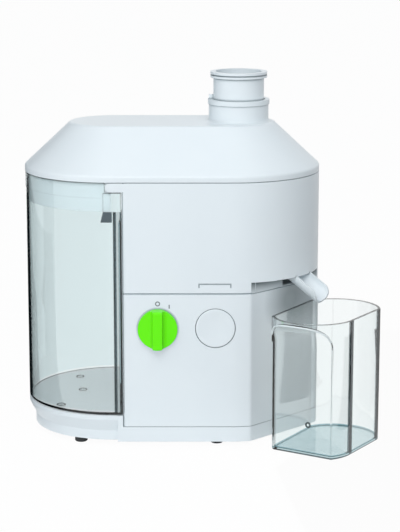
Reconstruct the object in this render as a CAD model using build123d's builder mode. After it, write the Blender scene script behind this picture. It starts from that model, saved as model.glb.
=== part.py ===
from build123d import *
import os
from math import atan, cos, radians, sin, sqrt, tan

os.makedirs("parts", exist_ok=True)

# Centrifugal juicer, in millimetres. The front faces -Y, the pulp container is at -X
# and the jug stands at the right front. The origin is on the table, under the middle
# of the whole set, and BODY_X, BODY_Y is the centre of the housing seen from above.
BODY_X = -28.7
BODY_Y = 20.9
BODY_LENGTH = 290.0
BODY_DEPTH = 174.0
END_RADIUS = BODY_DEPTH / 2
HALF_STRAIGHT = BODY_LENGTH / 2 - END_RADIUS

# Levels above the table
FOOT_HEIGHT = 5.6
PLINTH_TOP = 20.3
TRAY_TOP = 31.5
DECK_TOP = 152.3
OVERHANG = 163.0
SHELF_TOP = 232.0
RIM = 260.0
LID_BAND_TOP = 265.5
LID_TOP = 307.5
CHUTE_TOP = 329.0
PUSHER_TOP = 356.0

# Moulded walls and gaps
WALL = 2.8
CLEAR_WALL = 2.5
GAP = 0.4
SEAM = 0.6
PARTING = 1.1

# Where the pulp container meets the housing, and the wall of the jug's recess
DIVIDE_X = -46.6
EDGE_ROUND = 2.5
RECESS_OFFSET = 161.5 / sqrt(2)
CORNER_RADIUS = 6.0

# Drive line and feed chute, measured from the housing's centre
SPINDLE_X = HALF_STRAIGHT
CHUTE_X = 65.4
SHAFT_RADIUS = 4.0
RUNNING_FIT = 0.03
SCREW_RADIUS = 2.0
SCREW_HOLE = 2.1
SCREW_HEAD = 4.0

# Controls on the front panel
CONTROL_Z = 118.8
CONTROL_RADIUS = 19.0
KNOB_X = -13.0
BUTTON_X = 42.3
BUTTON_TRAVEL = 4.0

# Datums: the housing's centre on the table, its front face, and the spindle
BODY = Plane((BODY_X, BODY_Y, 0))
FRONT = Plane((BODY_X, BODY_Y - END_RADIUS, 0), x_dir=(1, 0, 0), z_dir=(0, -1, 0))
BACK = Plane((BODY_X, BODY_Y + END_RADIUS, 0), x_dir=(-1, 0, 0), z_dir=(0, 1, 0))
SPINDLE = Plane((BODY_X + SPINDLE_X, BODY_Y, 0))
CHUTE = Plane((BODY_X + CHUTE_X, BODY_Y, 0))
# The spindle's axis seen from the front, for turned profiles
SPINDLE_PROFILE = Plane((BODY_X + SPINDLE_X, BODY_Y, 0), x_dir=(1, 0, 0), z_dir=(0, -1, 0))


def stadium(inset=0.0):
    """The whole plan, seen from above."""
    SlotCenterToCenter(2 * HALF_STRAIGHT, 2 * (END_RADIUS - inset))


def beyond_recess(inset, mode):
    """Everything outside the 45 degree wall of the jug's recess."""
    reach = (RECESS_OFFSET - inset) / sqrt(2)
    with Locations((reach, -reach)):
        Rectangle(BODY_LENGTH, BODY_LENGTH, rotation=-45, align=(Align.MIN, Align.CENTER), mode=mode)


def housing_plan(inset=0.0, recess=True):
    """The stadium plan, cut off straight at the pulp container, with or without the recess."""
    stadium(inset)
    with Locations((DIVIDE_X + inset, 0)):
        Rectangle(BODY_LENGTH, BODY_LENGTH, align=(Align.MAX, Align.CENTER), mode=Mode.SUBTRACT)
    if inset < EDGE_ROUND:
        fillet(vertices().group_by(Axis.X)[0], EDGE_ROUND - inset)
    if recess:
        beyond_recess(inset, Mode.SUBTRACT)
        fillet(vertices().sort_by(Axis((0, 0, 0), (1, -1, 0)))[-2:], CORNER_RADIUS - inset)


def container_plan(inset, right_x):
    """The round left end of the plan, as far as right_x."""
    stadium(inset)
    with Locations((right_x, 0)):
        Rectangle(BODY_LENGTH, BODY_LENGTH, align=(Align.MIN, Align.CENTER), mode=Mode.SUBTRACT)


def save(piece, name):
    """Labels a finished piece and writes it as one STEP file."""
    piece.part.label = name
    export_step(piece.part, f"parts/{name}.step")


# Base plate: the plinth under the motor housing and the pulp container's tray, with a sill
# between them. The tray's side is drawn in below a short upright rim.
SILL_LEFT = -52.2
SILL_ROOT = DIVIDE_X + 5.0
TRAY_RIGHT = SILL_LEFT + 1.0
TRAY_RIM_INSET = 0.6
TRAY_FOOT_INSET = 6.6
TRAY_FLARE_BOTTOM = 15.0
TRAY_FLARE_TOP = 27.0
TRAY_DECK = 2.5
FLOOR = 3.0
FLOOR_TOP = FOOT_HEIGHT + FLOOR
FOOT_RADIUS = 6.2
FOOT_SEAT = 1.4
FOOT_PILLAR = 7.6
FOOT_FIT = 0.05
HEAD_ROOM = 0.3
FOOT_PLACES = [(-89, -65), (44, -70), (-89, 65), (100, 55)]
BASE_SCREW_PLACES = [(-39.5, -81), (-39.5, 81), (40, 81), (139, 10), (66, -80.5)]
BOSS_RADIUS = 5.0
VENT_COUNT = 9
VENT_PITCH = 7.0
VENT_LENGTH = 44.0
VENT_WIDTH = 3.0


def sill_plan(right_x):
    """A strip of the stadium between the tray and the housing."""
    container_plan(0, right_x)
    with Locations((SILL_LEFT, 0)):
        Rectangle(BODY_LENGTH, BODY_LENGTH, align=(Align.MAX, Align.CENTER), mode=Mode.SUBTRACT)


with BuildPart() as base_plate:
    with BuildSketch(BODY.offset(FOOT_HEIGHT)):
        housing_plan()
    extrude(amount=PLINTH_TOP - FOOT_HEIGHT)
    with BuildSketch(BODY.offset(FOOT_HEIGHT)):
        sill_plan(SILL_ROOT)
    extrude(amount=PLINTH_TOP - FOOT_HEIGHT)
    with BuildSketch(BODY.offset(FOOT_HEIGHT)):
        sill_plan(DIVIDE_X - GAP)
    extrude(amount=TRAY_TOP - FOOT_HEIGHT)
    with BuildSketch(BODY.offset(FLOOR_TOP)):
        housing_plan(WALL)
    extrude(amount=PLINTH_TOP, mode=Mode.SUBTRACT)
    with BuildSketch(BODY.offset(FOOT_HEIGHT)):
        container_plan(TRAY_FOOT_INSET, TRAY_RIGHT)
    extrude(amount=TRAY_FLARE_BOTTOM - FOOT_HEIGHT)
    with BuildSketch(BODY.offset(TRAY_FLARE_BOTTOM)):
        container_plan(TRAY_FOOT_INSET, TRAY_RIGHT)
    with BuildSketch(BODY.offset(TRAY_FLARE_TOP)):
        container_plan(TRAY_RIM_INSET, TRAY_RIGHT)
    loft(ruled=True)
    with BuildSketch(BODY.offset(TRAY_FLARE_TOP)):
        container_plan(TRAY_RIM_INSET, TRAY_RIGHT)
    extrude(amount=TRAY_TOP - TRAY_FLARE_TOP)
    # The underside of the tray is open
    with BuildSketch(BODY.offset(FOOT_HEIGHT)):
        container_plan(TRAY_FOOT_INSET + WALL, TRAY_RIGHT - WALL)
    extrude(amount=TRAY_TOP - TRAY_DECK - FOOT_HEIGHT, mode=Mode.SUBTRACT)
    with BuildSketch(BODY.offset(FOOT_HEIGHT)):
        with Locations(FOOT_PLACES[0], FOOT_PLACES[2]):
            Circle(FOOT_PILLAR)
    extrude(amount=TRAY_TOP - TRAY_DECK - FOOT_HEIGHT)
    with BuildSketch(BODY.offset(FLOOR_TOP)):
        with Locations(*BASE_SCREW_PLACES):
            Circle(BOSS_RADIUS)
    extrude(amount=PLINTH_TOP - FLOOR_TOP)
    with BuildSketch(BODY.offset(FOOT_HEIGHT)):
        with Locations(*BASE_SCREW_PLACES):
            Circle(SCREW_HOLE)
    extrude(amount=PLINTH_TOP, mode=Mode.SUBTRACT)
    with BuildSketch(BODY.offset(FOOT_HEIGHT)):
        with Locations(*BASE_SCREW_PLACES):
            Circle(SCREW_HEAD + HEAD_ROOM)
        with Locations(*FOOT_PLACES):
            Circle(FOOT_RADIUS + FOOT_FIT)
    extrude(amount=FOOT_SEAT, mode=Mode.SUBTRACT)
    # Air slots under the fan
    with BuildSketch(SPINDLE.offset(FOOT_HEIGHT)):
        with GridLocations(VENT_PITCH, 0, VENT_COUNT, 1):
            SlotOverall(VENT_LENGTH, VENT_WIDTH, rotation=90)
    extrude(amount=FLOOR, mode=Mode.SUBTRACT)
save(base_plate, "base_plate")

FOOT_CHAMFER = 0.8

with BuildPart() as rubber_feet:
    with BuildSketch(BODY):
        with Locations(*FOOT_PLACES):
            Circle(FOOT_RADIUS)
    extrude(amount=FOOT_HEIGHT + FOOT_SEAT)
    chamfer(rubber_feet.faces().group_by(Axis.Z)[0].edges(), FOOT_CHAMFER)
save(rubber_feet, "rubber_feet")

BASE_SCREW_LENGTH = 26.0
HEAD_SUNK = 0.2

with BuildPart() as base_screws:
    with BuildSketch(BODY.offset(FOOT_HEIGHT + HEAD_SUNK)):
        with Locations(*BASE_SCREW_PLACES):
            Circle(SCREW_HEAD)
    extrude(amount=FOOT_SEAT - HEAD_SUNK)
    with BuildSketch(BODY.offset(FOOT_HEIGHT + FOOT_SEAT)):
        with Locations(*BASE_SCREW_PLACES):
            Circle(SCREW_RADIUS)
    extrude(amount=BASE_SCREW_LENGTH)
save(base_screws, "base_screws")

# Motor housing: the lower shell with the front panel, the recess's wall and the deck.
DECK = 3.0
DECK_UNDER = DECK_TOP - DECK
SEAL_RADIUS = 12.0
SEAL_BOSS_TOP = 158.0
RIDGE_TOP = DECK_TOP + 3.5
RIDGE_WIDTH = 2.0
MOUNT_CIRCLE = 44.0
PILLAR_RADIUS = 6.0
PILLAR_BOTTOM = 141.0
SPINDLE_HOLE = 4.3
BUTTON_TUBE_WALL = 2.0
BUTTON_TUBE_BACK = 25.0
STEM_RADIUS = 4.0
ARM_WIDTH = 12.0
ARM_THICK = 3.0
ARM_FRONT = 10.0
ARM_ROOM = 1.0
INLET_X = -8.0
INLET_Z = 36.0
INLET_RADIUS = 7.0

# Spout: an open trough that runs down from the collector and out under the overhang
SPOUT_BEARING = -36.0
SPOUT_SLOPE = 30.0
SPOUT_RADIUS = 13.0
SPOUT_WALL = 2.0
SPOUT_LENGTH = 60.0
SPOUT_TIP_REACH = 112.0
SPOUT_TIP_Z = 149.3
SPOUT_NOTCH_LENGTH = 60.0
SPOUT_NOTCH_WIDTH = 29.0
SPOUT_NOTCH_BOTTOM = DECK_TOP + 1.0
bearing_x = cos(radians(SPOUT_BEARING))
bearing_y = sin(radians(SPOUT_BEARING))
SPOUT_RUN = Plane((BODY_X + SPINDLE_X, BODY_Y, 0), x_dir=(bearing_x, bearing_y, 0), z_dir=(0, 0, 1))

with BuildPart() as motor_housing:
    with BuildSketch(BODY.offset(PLINTH_TOP)):
        housing_plan()
    extrude(amount=DECK_TOP - PLINTH_TOP)
    chamfer(motor_housing.faces().sort_by(Axis.Z)[0].edges(), SEAM)
    deck_edges = motor_housing.faces().sort_by(Axis.Z)[-1].edges()
    chamfer(deck_edges.filter_by(Axis((0, 0, 0), (1, 1, 0)), reverse=True), PARTING)
    with BuildSketch(BODY.offset(PLINTH_TOP)):
        housing_plan(WALL)
    extrude(amount=DECK_UNDER - PLINTH_TOP, mode=Mode.SUBTRACT)
    # Locating ridge round the deck, and the recess's wall carried up to the overhang
    with BuildSketch(BODY.offset(DECK_TOP)):
        housing_plan(WALL + GAP)
        offset(amount=-RIDGE_WIDTH, mode=Mode.SUBTRACT)
    extrude(amount=RIDGE_TOP - DECK_TOP)
    with BuildSketch(BODY.offset(DECK_TOP)):
        housing_plan(WALL + GAP, recess=False)
        beyond_recess(WALL, Mode.INTERSECT)
        beyond_recess(0, Mode.SUBTRACT)
    extrude(amount=OVERHANG - GAP - DECK_TOP)
    # Notch that the spout lies in
    with BuildSketch(SPOUT_RUN.offset(SPOUT_NOTCH_BOTTOM)):
        with Locations((MOUNT_CIRCLE, 0)):
            Rectangle(SPOUT_NOTCH_LENGTH, SPOUT_NOTCH_WIDTH, align=(Align.MIN, Align.CENTER))
    extrude(amount=OVERHANG - DECK_TOP, mode=Mode.SUBTRACT)
    # Raised seat of the shaft seal, and the pillars that the motor hangs from
    with BuildSketch(SPINDLE.offset(DECK_UNDER)):
        Circle(SEAL_RADIUS + WALL)
    extrude(amount=SEAL_BOSS_TOP - DECK_UNDER)
    with BuildSketch(SPINDLE.offset(DECK_UNDER)):
        Circle(SEAL_RADIUS)
    extrude(amount=SEAL_BOSS_TOP, mode=Mode.SUBTRACT)
    with BuildSketch(SPINDLE.offset(PILLAR_BOTTOM)):
        with PolarLocations(MOUNT_CIRCLE, 4):
            Circle(PILLAR_RADIUS)
            Circle(SCREW_HOLE, mode=Mode.SUBTRACT)
    extrude(amount=DECK_UNDER - PILLAR_BOTTOM)
    # Bosses for the screws of the base plate
    with BuildSketch(BODY.offset(PLINTH_TOP)):
        with Locations(*BASE_SCREW_PLACES):
            Circle(BOSS_RADIUS)
    extrude(amount=BASE_SCREW_LENGTH)
    with BuildSketch(BODY.offset(PLINTH_TOP)):
        with Locations(*BASE_SCREW_PLACES):
            Circle(SCREW_HOLE)
    extrude(amount=BASE_SCREW_LENGTH - FLOOR, mode=Mode.SUBTRACT)
    # Button well behind the front panel, slotted on top for the catch
    with BuildSketch(FRONT.offset(-BUTTON_TUBE_BACK)):
        with Locations((BUTTON_X, CONTROL_Z)):
            Circle(CONTROL_RADIUS + GAP + BUTTON_TUBE_WALL)
    extrude(amount=BUTTON_TUBE_BACK - SEAM)
    with BuildSketch(FRONT.offset(-BUTTON_TUBE_BACK + BUTTON_TUBE_WALL)):
        with Locations((BUTTON_X, CONTROL_Z)):
            Circle(CONTROL_RADIUS + GAP)
    extrude(amount=BUTTON_TUBE_BACK, mode=Mode.SUBTRACT)
    with BuildSketch(FRONT.offset(-BUTTON_TUBE_BACK)):
        with Locations((BUTTON_X, CONTROL_Z)):
            Circle(STEM_RADIUS + GAP)
        with Locations((KNOB_X, CONTROL_Z)):
            Circle(SPINDLE_HOLE)
    extrude(amount=2 * BUTTON_TUBE_BACK, mode=Mode.SUBTRACT)
    with BuildSketch(BODY.offset(CONTROL_Z)):
        with Locations((BUTTON_X, ARM_FRONT - ARM_ROOM - END_RADIUS)):
            Rectangle(ARM_WIDTH + 2 * ARM_ROOM, ARM_THICK + BUTTON_TRAVEL + 2.5 * ARM_ROOM,
                      align=(Align.CENTER, Align.MIN))
    extrude(amount=DECK_TOP - CONTROL_Z, mode=Mode.SUBTRACT)
    # Hole for the cord's inlet bush
    with BuildSketch(BACK):
        with Locations((-INLET_X, INLET_Z)):
            Circle(INLET_RADIUS)
    extrude(amount=-2 * WALL, mode=Mode.SUBTRACT)
save(motor_housing, "motor_housing")

# Shaft seal, pressed into the deck
SEAL_HEIGHT = 7.0

with BuildPart() as shaft_seal:
    with BuildSketch(SPINDLE.offset(DECK_UNDER + GAP)):
        Circle(SEAL_RADIUS)
        Circle(SHAFT_RADIUS + RUNNING_FIT, mode=Mode.SUBTRACT)
    extrude(amount=SEAL_HEIGHT)
save(shaft_seal, "shaft_seal")

# Universal motor, hung from the deck on rubber mounts
UPPER_BRACKET_BOTTOM = 130.0
BRACKET_THICK = 5.0
LOWER_BRACKET_BOTTOM = 44.0
BRACKET_RADIUS = 52.0
STACK_BOTTOM = 74.0
STACK_TOP = 112.0
STACK_SIDE = 84.0
BORE_RADIUS = 25.0
BOLT_PITCH = 66.0
LEG_RADIUS = 5.0
BEARING_WIDTH = 7.0
BEARING_DROP = 1.0
SEAT_DROP = 3.0
SEAT_HEIGHT = 10.0
SHIELD_WIDTH = 2.0
STACK_CORNER = 8.0
UPPER_BEARING_RADIUS = 11.0
LOWER_BEARING_RADIUS = 8.0
AIR_WINDOW_RADIUS = 9.0
AIR_WINDOW_CIRCLE = 29.0
COIL_NEAR = 27.3
COIL_FAR = 36.7
COIL_INNER = 14.2
COIL_OUTER = 25.8
COIL_RISE = 11.0
COIL_CORNER = 9.0
COIL_WINDOW_CORNER = 0.8


def bearing_bracket_plan(seat_radius):
    """A round bracket with four air windows and holes for the through bolts."""
    Circle(BRACKET_RADIUS)
    Circle(seat_radius, mode=Mode.SUBTRACT)
    with PolarLocations(AIR_WINDOW_CIRCLE, 4, start_angle=45):
        Circle(AIR_WINDOW_RADIUS, mode=Mode.SUBTRACT)
    with GridLocations(BOLT_PITCH, BOLT_PITCH, 2, 2):
        Circle(SCREW_HOLE, mode=Mode.SUBTRACT)
    with PolarLocations(MOUNT_CIRCLE, 4):
        Circle(SCREW_HOLE, mode=Mode.SUBTRACT)


def bracket_legs():
    """Four legs, bored for the through bolts."""
    with GridLocations(BOLT_PITCH, BOLT_PITCH, 2, 2):
        Circle(LEG_RADIUS)
        Circle(SCREW_HOLE, mode=Mode.SUBTRACT)


with BuildPart() as upper_bearing_bracket:
    with BuildSketch(SPINDLE.offset(UPPER_BRACKET_BOTTOM)):
        bearing_bracket_plan(UPPER_BEARING_RADIUS)
    extrude(amount=BRACKET_THICK)
    with BuildSketch(SPINDLE.offset(UPPER_BRACKET_BOTTOM - SEAT_DROP)):
        Circle(UPPER_BEARING_RADIUS + WALL)
        Circle(UPPER_BEARING_RADIUS, mode=Mode.SUBTRACT)
    extrude(amount=SEAT_HEIGHT)
    with BuildSketch(SPINDLE.offset(STACK_TOP)):
        bracket_legs()
    extrude(amount=UPPER_BRACKET_BOTTOM - STACK_TOP)
save(upper_bearing_bracket, "upper_bearing_bracket")

with BuildPart() as lower_bearing_bracket:
    with BuildSketch(SPINDLE.offset(LOWER_BRACKET_BOTTOM)):
        bearing_bracket_plan(LOWER_BEARING_RADIUS)
    extrude(amount=BRACKET_THICK)
    with BuildSketch(SPINDLE.offset(LOWER_BRACKET_BOTTOM - SEAT_DROP)):
        Circle(LOWER_BEARING_RADIUS + WALL)
        Circle(LOWER_BEARING_RADIUS, mode=Mode.SUBTRACT)
    extrude(amount=SEAT_HEIGHT)
    with BuildSketch(SPINDLE.offset(LOWER_BRACKET_BOTTOM + BRACKET_THICK)):
        bracket_legs()
    extrude(amount=STACK_BOTTOM - LOWER_BRACKET_BOTTOM - BRACKET_THICK)
save(lower_bearing_bracket, "lower_bearing_bracket")

for bearing_name, bearing_radius, bearing_bottom in (
    ("upper_bearing", UPPER_BEARING_RADIUS, UPPER_BRACKET_BOTTOM - BEARING_DROP),
    ("lower_bearing", LOWER_BEARING_RADIUS, LOWER_BRACKET_BOTTOM - BEARING_DROP),
):
    with BuildPart() as bearing:
        with BuildSketch(SPINDLE.offset(bearing_bottom)):
            Circle(bearing_radius)
            Circle(SHAFT_RADIUS + RUNNING_FIT, mode=Mode.SUBTRACT)
        extrude(amount=BEARING_WIDTH)
        # Shield grooves between the two races
        middle = (bearing_radius + SHAFT_RADIUS) / 2
        for groove_level in (bearing_bottom, bearing_bottom + BEARING_WIDTH - SEAM):
            with BuildSketch(SPINDLE.offset(groove_level)):
                Circle(middle + SHIELD_WIDTH / 2)
                Circle(middle - SHIELD_WIDTH / 2, mode=Mode.SUBTRACT)
            extrude(amount=SEAM, mode=Mode.SUBTRACT)
    save(bearing, bearing_name)

with BuildPart() as stator_core:
    with BuildSketch(SPINDLE.offset(STACK_BOTTOM)):
        RectangleRounded(STACK_SIDE, STACK_SIDE, STACK_CORNER)
        Circle(BORE_RADIUS, mode=Mode.SUBTRACT)
        # Winding slots on both sides of each pole
        slot_middle_x = (COIL_NEAR + COIL_FAR) / 2
        slot_middle_y = (COIL_INNER + COIL_OUTER) / 2
        with GridLocations(2 * slot_middle_x, 2 * slot_middle_y, 2, 2):
            Rectangle(COIL_FAR - COIL_NEAR + GAP, COIL_OUTER - COIL_INNER + GAP, mode=Mode.SUBTRACT)
        with GridLocations(BOLT_PITCH, BOLT_PITCH, 2, 2):
            Circle(SCREW_HOLE, mode=Mode.SUBTRACT)
    extrude(amount=STACK_TOP - STACK_BOTTOM)
save(stator_core, "stator_core")

# Field coils: one racetrack winding round each pole
COIL_MIDDLE_Z = (STACK_BOTTOM + STACK_TOP) / 2
COIL_HEIGHT = STACK_TOP - STACK_BOTTOM + 2 * COIL_RISE
COIL_WINDOW = STACK_TOP - STACK_BOTTOM + 2.0

with BuildPart() as field_coils:
    for coil_start in (COIL_NEAR, -COIL_FAR):
        coil_plane = Plane((BODY_X + SPINDLE_X + coil_start, BODY_Y, COIL_MIDDLE_Z), (0, 1, 0), (1, 0, 0))
        with BuildSketch(coil_plane):
            RectangleRounded(2 * COIL_OUTER, COIL_HEIGHT, COIL_CORNER)
            RectangleRounded(2 * COIL_INNER, COIL_WINDOW, COIL_WINDOW_CORNER, mode=Mode.SUBTRACT)
        extrude(amount=COIL_FAR - COIL_NEAR)
save(field_coils, "field_coils")

HEAD_HEIGHT = 3.0
BOLT_END = 2.0
MOUNT_FLANGE = 1.0
MOUNT_SCREW_GRIP = 6.0

with BuildPart() as motor_bolts:
    with BuildSketch(SPINDLE.offset(LOWER_BRACKET_BOTTOM - HEAD_HEIGHT)):
        with GridLocations(BOLT_PITCH, BOLT_PITCH, 2, 2):
            RegularPolygon(SCREW_HEAD, 6)
    extrude(amount=HEAD_HEIGHT)
    with BuildSketch(SPINDLE.offset(LOWER_BRACKET_BOTTOM)):
        with GridLocations(BOLT_PITCH, BOLT_PITCH, 2, 2):
            Circle(SCREW_RADIUS)
    extrude(amount=UPPER_BRACKET_BOTTOM + BRACKET_THICK + BOLT_END - LOWER_BRACKET_BOTTOM)
save(motor_bolts, "motor_bolts")

with BuildPart() as motor_mounts:
    with BuildSketch(SPINDLE.offset(UPPER_BRACKET_BOTTOM + BRACKET_THICK)):
        with PolarLocations(MOUNT_CIRCLE, 4):
            Circle(PILLAR_RADIUS + MOUNT_FLANGE)
            Circle(SCREW_HOLE, mode=Mode.SUBTRACT)
    extrude(amount=PILLAR_BOTTOM - UPPER_BRACKET_BOTTOM - BRACKET_THICK)
save(motor_mounts, "motor_mounts")

with BuildPart() as mount_screws:
    with BuildSketch(SPINDLE.offset(UPPER_BRACKET_BOTTOM - HEAD_HEIGHT)):
        with PolarLocations(MOUNT_CIRCLE, 4):
            Circle(SCREW_HEAD)
    extrude(amount=HEAD_HEIGHT)
    with BuildSketch(SPINDLE.offset(UPPER_BRACKET_BOTTOM)):
        with PolarLocations(MOUNT_CIRCLE, 4):
            Circle(SCREW_RADIUS)
    extrude(amount=PILLAR_BOTTOM + MOUNT_SCREW_GRIP - UPPER_BRACKET_BOTTOM)
save(mount_screws, "mount_screws")

# Carbon brushes in their holders, which stand on the lower bracket
COMMUTATOR_RADIUS = 11.0
COMMUTATOR_BOTTOM = 54.0
COMMUTATOR_TOP = 66.0
BRUSH_REACH = 24.0
BRUSH_WIDTH = 6.0
BRUSH_HEIGHT = 8.0
BRUSH_Z = 60.0
HOLDER_NEAR = 14.0
HOLDER_FAR = 32.0
HOLDER_WALL = 1.5
HOLDER_FIT = 0.2

with BuildPart() as carbon_brushes:
    for side in (1, -1):
        brush_plane = Plane((BODY_X + SPINDLE_X, BODY_Y, BRUSH_Z), x_dir=(1, 0, 0), z_dir=(0, side, 0))
        with BuildSketch(brush_plane.offset(COMMUTATOR_RADIUS + GAP)):
            Rectangle(BRUSH_WIDTH, BRUSH_HEIGHT)
        extrude(amount=BRUSH_REACH - COMMUTATOR_RADIUS)
save(carbon_brushes, "carbon_brushes")

with BuildPart() as brush_holders:
    for side in (1, -1):
        holder_plane = Plane((BODY_X + SPINDLE_X, BODY_Y, BRUSH_Z), x_dir=(1, 0, 0), z_dir=(0, side, 0))
        with BuildSketch(holder_plane.offset(HOLDER_NEAR)):
            Rectangle(BRUSH_WIDTH + 2 * HOLDER_WALL, BRUSH_HEIGHT + 2 * HOLDER_WALL)
            Rectangle(BRUSH_WIDTH + HOLDER_FIT, BRUSH_HEIGHT + HOLDER_FIT, mode=Mode.SUBTRACT)
        extrude(amount=HOLDER_FAR - HOLDER_NEAR)
        with BuildSketch(SPINDLE.offset(LOWER_BRACKET_BOTTOM + BRACKET_THICK)):
            with Locations((0, side * (HOLDER_NEAR + HOLDER_FAR) / 2)):
                Rectangle(BRUSH_WIDTH, HOLDER_FAR - HOLDER_NEAR)
        extrude(amount=BRUSH_Z - BRUSH_HEIGHT / 2 - HOLDER_WALL - LOWER_BRACKET_BOTTOM - BRACKET_THICK)
save(brush_holders, "brush_holders")

# Rotor: shaft, armature, commutator, fan and drive coupling
SHAFT_BOTTOM = 24.0
SHAFT_TOP = 188.0
ARMATURE_RADIUS = 24.3
ARMATURE_TEETH = 12
WIRE_SLOT_DEPTH = 8.0
WIRE_SLOT_WIDTH = 3.0
WINDING_RADIUS = 20.0
WINDING_RISE = 9.0
WINDING_ROUND = 3.0
BAR_GAP_DEPTH = 1.6
BAR_GAP_WIDTH = 0.6
FAN_BOTTOM = 27.0
FAN_HEIGHT = 11.0
FAN_RADIUS = 36.0
FAN_BLADES = 10
FAN_HUB_RADIUS = 9.0
FAN_PLATE = 2.0
BLADE_CIRCLE = 24.0
BLADE_LENGTH = 23.0
BLADE_THICK = 1.6
BLADE_LEAN = 22.0
COUPLING_BOTTOM = 159.0
COUPLING_SHOULDER = 176.0
COUPLING_TOP = 195.0
COUPLING_HEX = 12.0
COUPLING_NECK = 9.0
COUPLING_CHAMFER = 1.2

with BuildPart() as motor_shaft:
    with BuildSketch(SPINDLE.offset(SHAFT_BOTTOM)):
        Circle(SHAFT_RADIUS)
    extrude(amount=SHAFT_TOP - SHAFT_BOTTOM)
    chamfer(motor_shaft.edges().filter_by(GeomType.CIRCLE), SEAM)
save(motor_shaft, "motor_shaft")

with BuildPart() as armature_core:
    with BuildSketch(SPINDLE.offset(STACK_BOTTOM)):
        Circle(ARMATURE_RADIUS)
        Circle(SHAFT_RADIUS, mode=Mode.SUBTRACT)
        with PolarLocations(ARMATURE_RADIUS - WIRE_SLOT_DEPTH, ARMATURE_TEETH):
            Rectangle(2 * WIRE_SLOT_DEPTH, WIRE_SLOT_WIDTH, align=(Align.MIN, Align.CENTER),
                      mode=Mode.SUBTRACT)
    extrude(amount=STACK_TOP - STACK_BOTTOM)
save(armature_core, "armature_core")

# The windings' heads swell out past both ends of the core
LOWER_HEAD = (COMMUTATOR_TOP + SEAM, STACK_BOTTOM)
UPPER_HEAD = (STACK_TOP, STACK_TOP + WINDING_RISE)

with BuildPart() as armature_windings:
    for head_bottom, head_top in (LOWER_HEAD, UPPER_HEAD):
        with BuildSketch(SPINDLE.offset(head_bottom)):
            Circle(WINDING_RADIUS)
            Circle(SHAFT_RADIUS, mode=Mode.SUBTRACT)
        extrude(amount=head_top - head_bottom)
    fillet(armature_windings.edges().filter_by(GeomType.CIRCLE).group_by(SortBy.RADIUS)[-1], WINDING_ROUND)
save(armature_windings, "armature_windings")

with BuildPart() as commutator:
    with BuildSketch(SPINDLE.offset(COMMUTATOR_BOTTOM)):
        Circle(COMMUTATOR_RADIUS)
        Circle(SHAFT_RADIUS, mode=Mode.SUBTRACT)
        with PolarLocations(COMMUTATOR_RADIUS, 2 * ARMATURE_TEETH):
            Rectangle(BAR_GAP_DEPTH, BAR_GAP_WIDTH, mode=Mode.SUBTRACT)
    extrude(amount=COMMUTATOR_TOP - COMMUTATOR_BOTTOM)
save(commutator, "commutator")

with BuildPart() as cooling_fan:
    with BuildSketch(SPINDLE.offset(FAN_BOTTOM + FAN_HEIGHT - FAN_PLATE)):
        Circle(FAN_RADIUS)
    extrude(amount=FAN_PLATE)
    with BuildSketch(SPINDLE.offset(FAN_BOTTOM)):
        Circle(FAN_HUB_RADIUS)
        with PolarLocations(BLADE_CIRCLE, FAN_BLADES):
            Rectangle(BLADE_LENGTH, BLADE_THICK, rotation=BLADE_LEAN)
    extrude(amount=FAN_HEIGHT)
    with BuildSketch(SPINDLE.offset(FAN_BOTTOM)):
        Circle(SHAFT_RADIUS)
    extrude(amount=FAN_HEIGHT, mode=Mode.SUBTRACT)
save(cooling_fan, "cooling_fan")

with BuildPart() as drive_coupling:
    with BuildSketch(SPINDLE.offset(COUPLING_BOTTOM)):
        Circle(COUPLING_NECK)
    extrude(amount=COUPLING_SHOULDER - COUPLING_BOTTOM)
    with BuildSketch(SPINDLE.offset(COUPLING_SHOULDER)):
        RegularPolygon(COUPLING_HEX, 6)
    extrude(amount=COUPLING_TOP - COUPLING_SHOULDER)
    chamfer(drive_coupling.faces().sort_by(Axis.Z)[-1].edges(), COUPLING_CHAMFER)
    with BuildSketch(SPINDLE.offset(COUPLING_BOTTOM)):
        Circle(SHAFT_RADIUS)
    extrude(amount=SHAFT_TOP - COUPLING_BOTTOM, mode=Mode.SUBTRACT)
save(drive_coupling, "drive_coupling")

# Upper housing: the outer shell that lifts off with the juice collector. Its skirt steps up
# over the jug's recess, and pulp flies over its shelf into the container.
COLLECTOR_RADIUS = 77.0
GROOVE_LEFT = 26.0
GROOVE_RIGHT = 57.5
GROOVE_TOP = 162.6
GROOVE_BOTTOM = 158.4
GROOVE_WIDTH = 1.2
GROOVE_DEPTH = 0.8
FINGER_LENGTH = 15.4
FINGER_ROOT = 4.0
FINGER_BOTTOM = 250.6
FINGER_HEIGHT = 8.6
FINGER_ROUND = 4.0
COLLECTOR_FIT = 0.2

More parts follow.
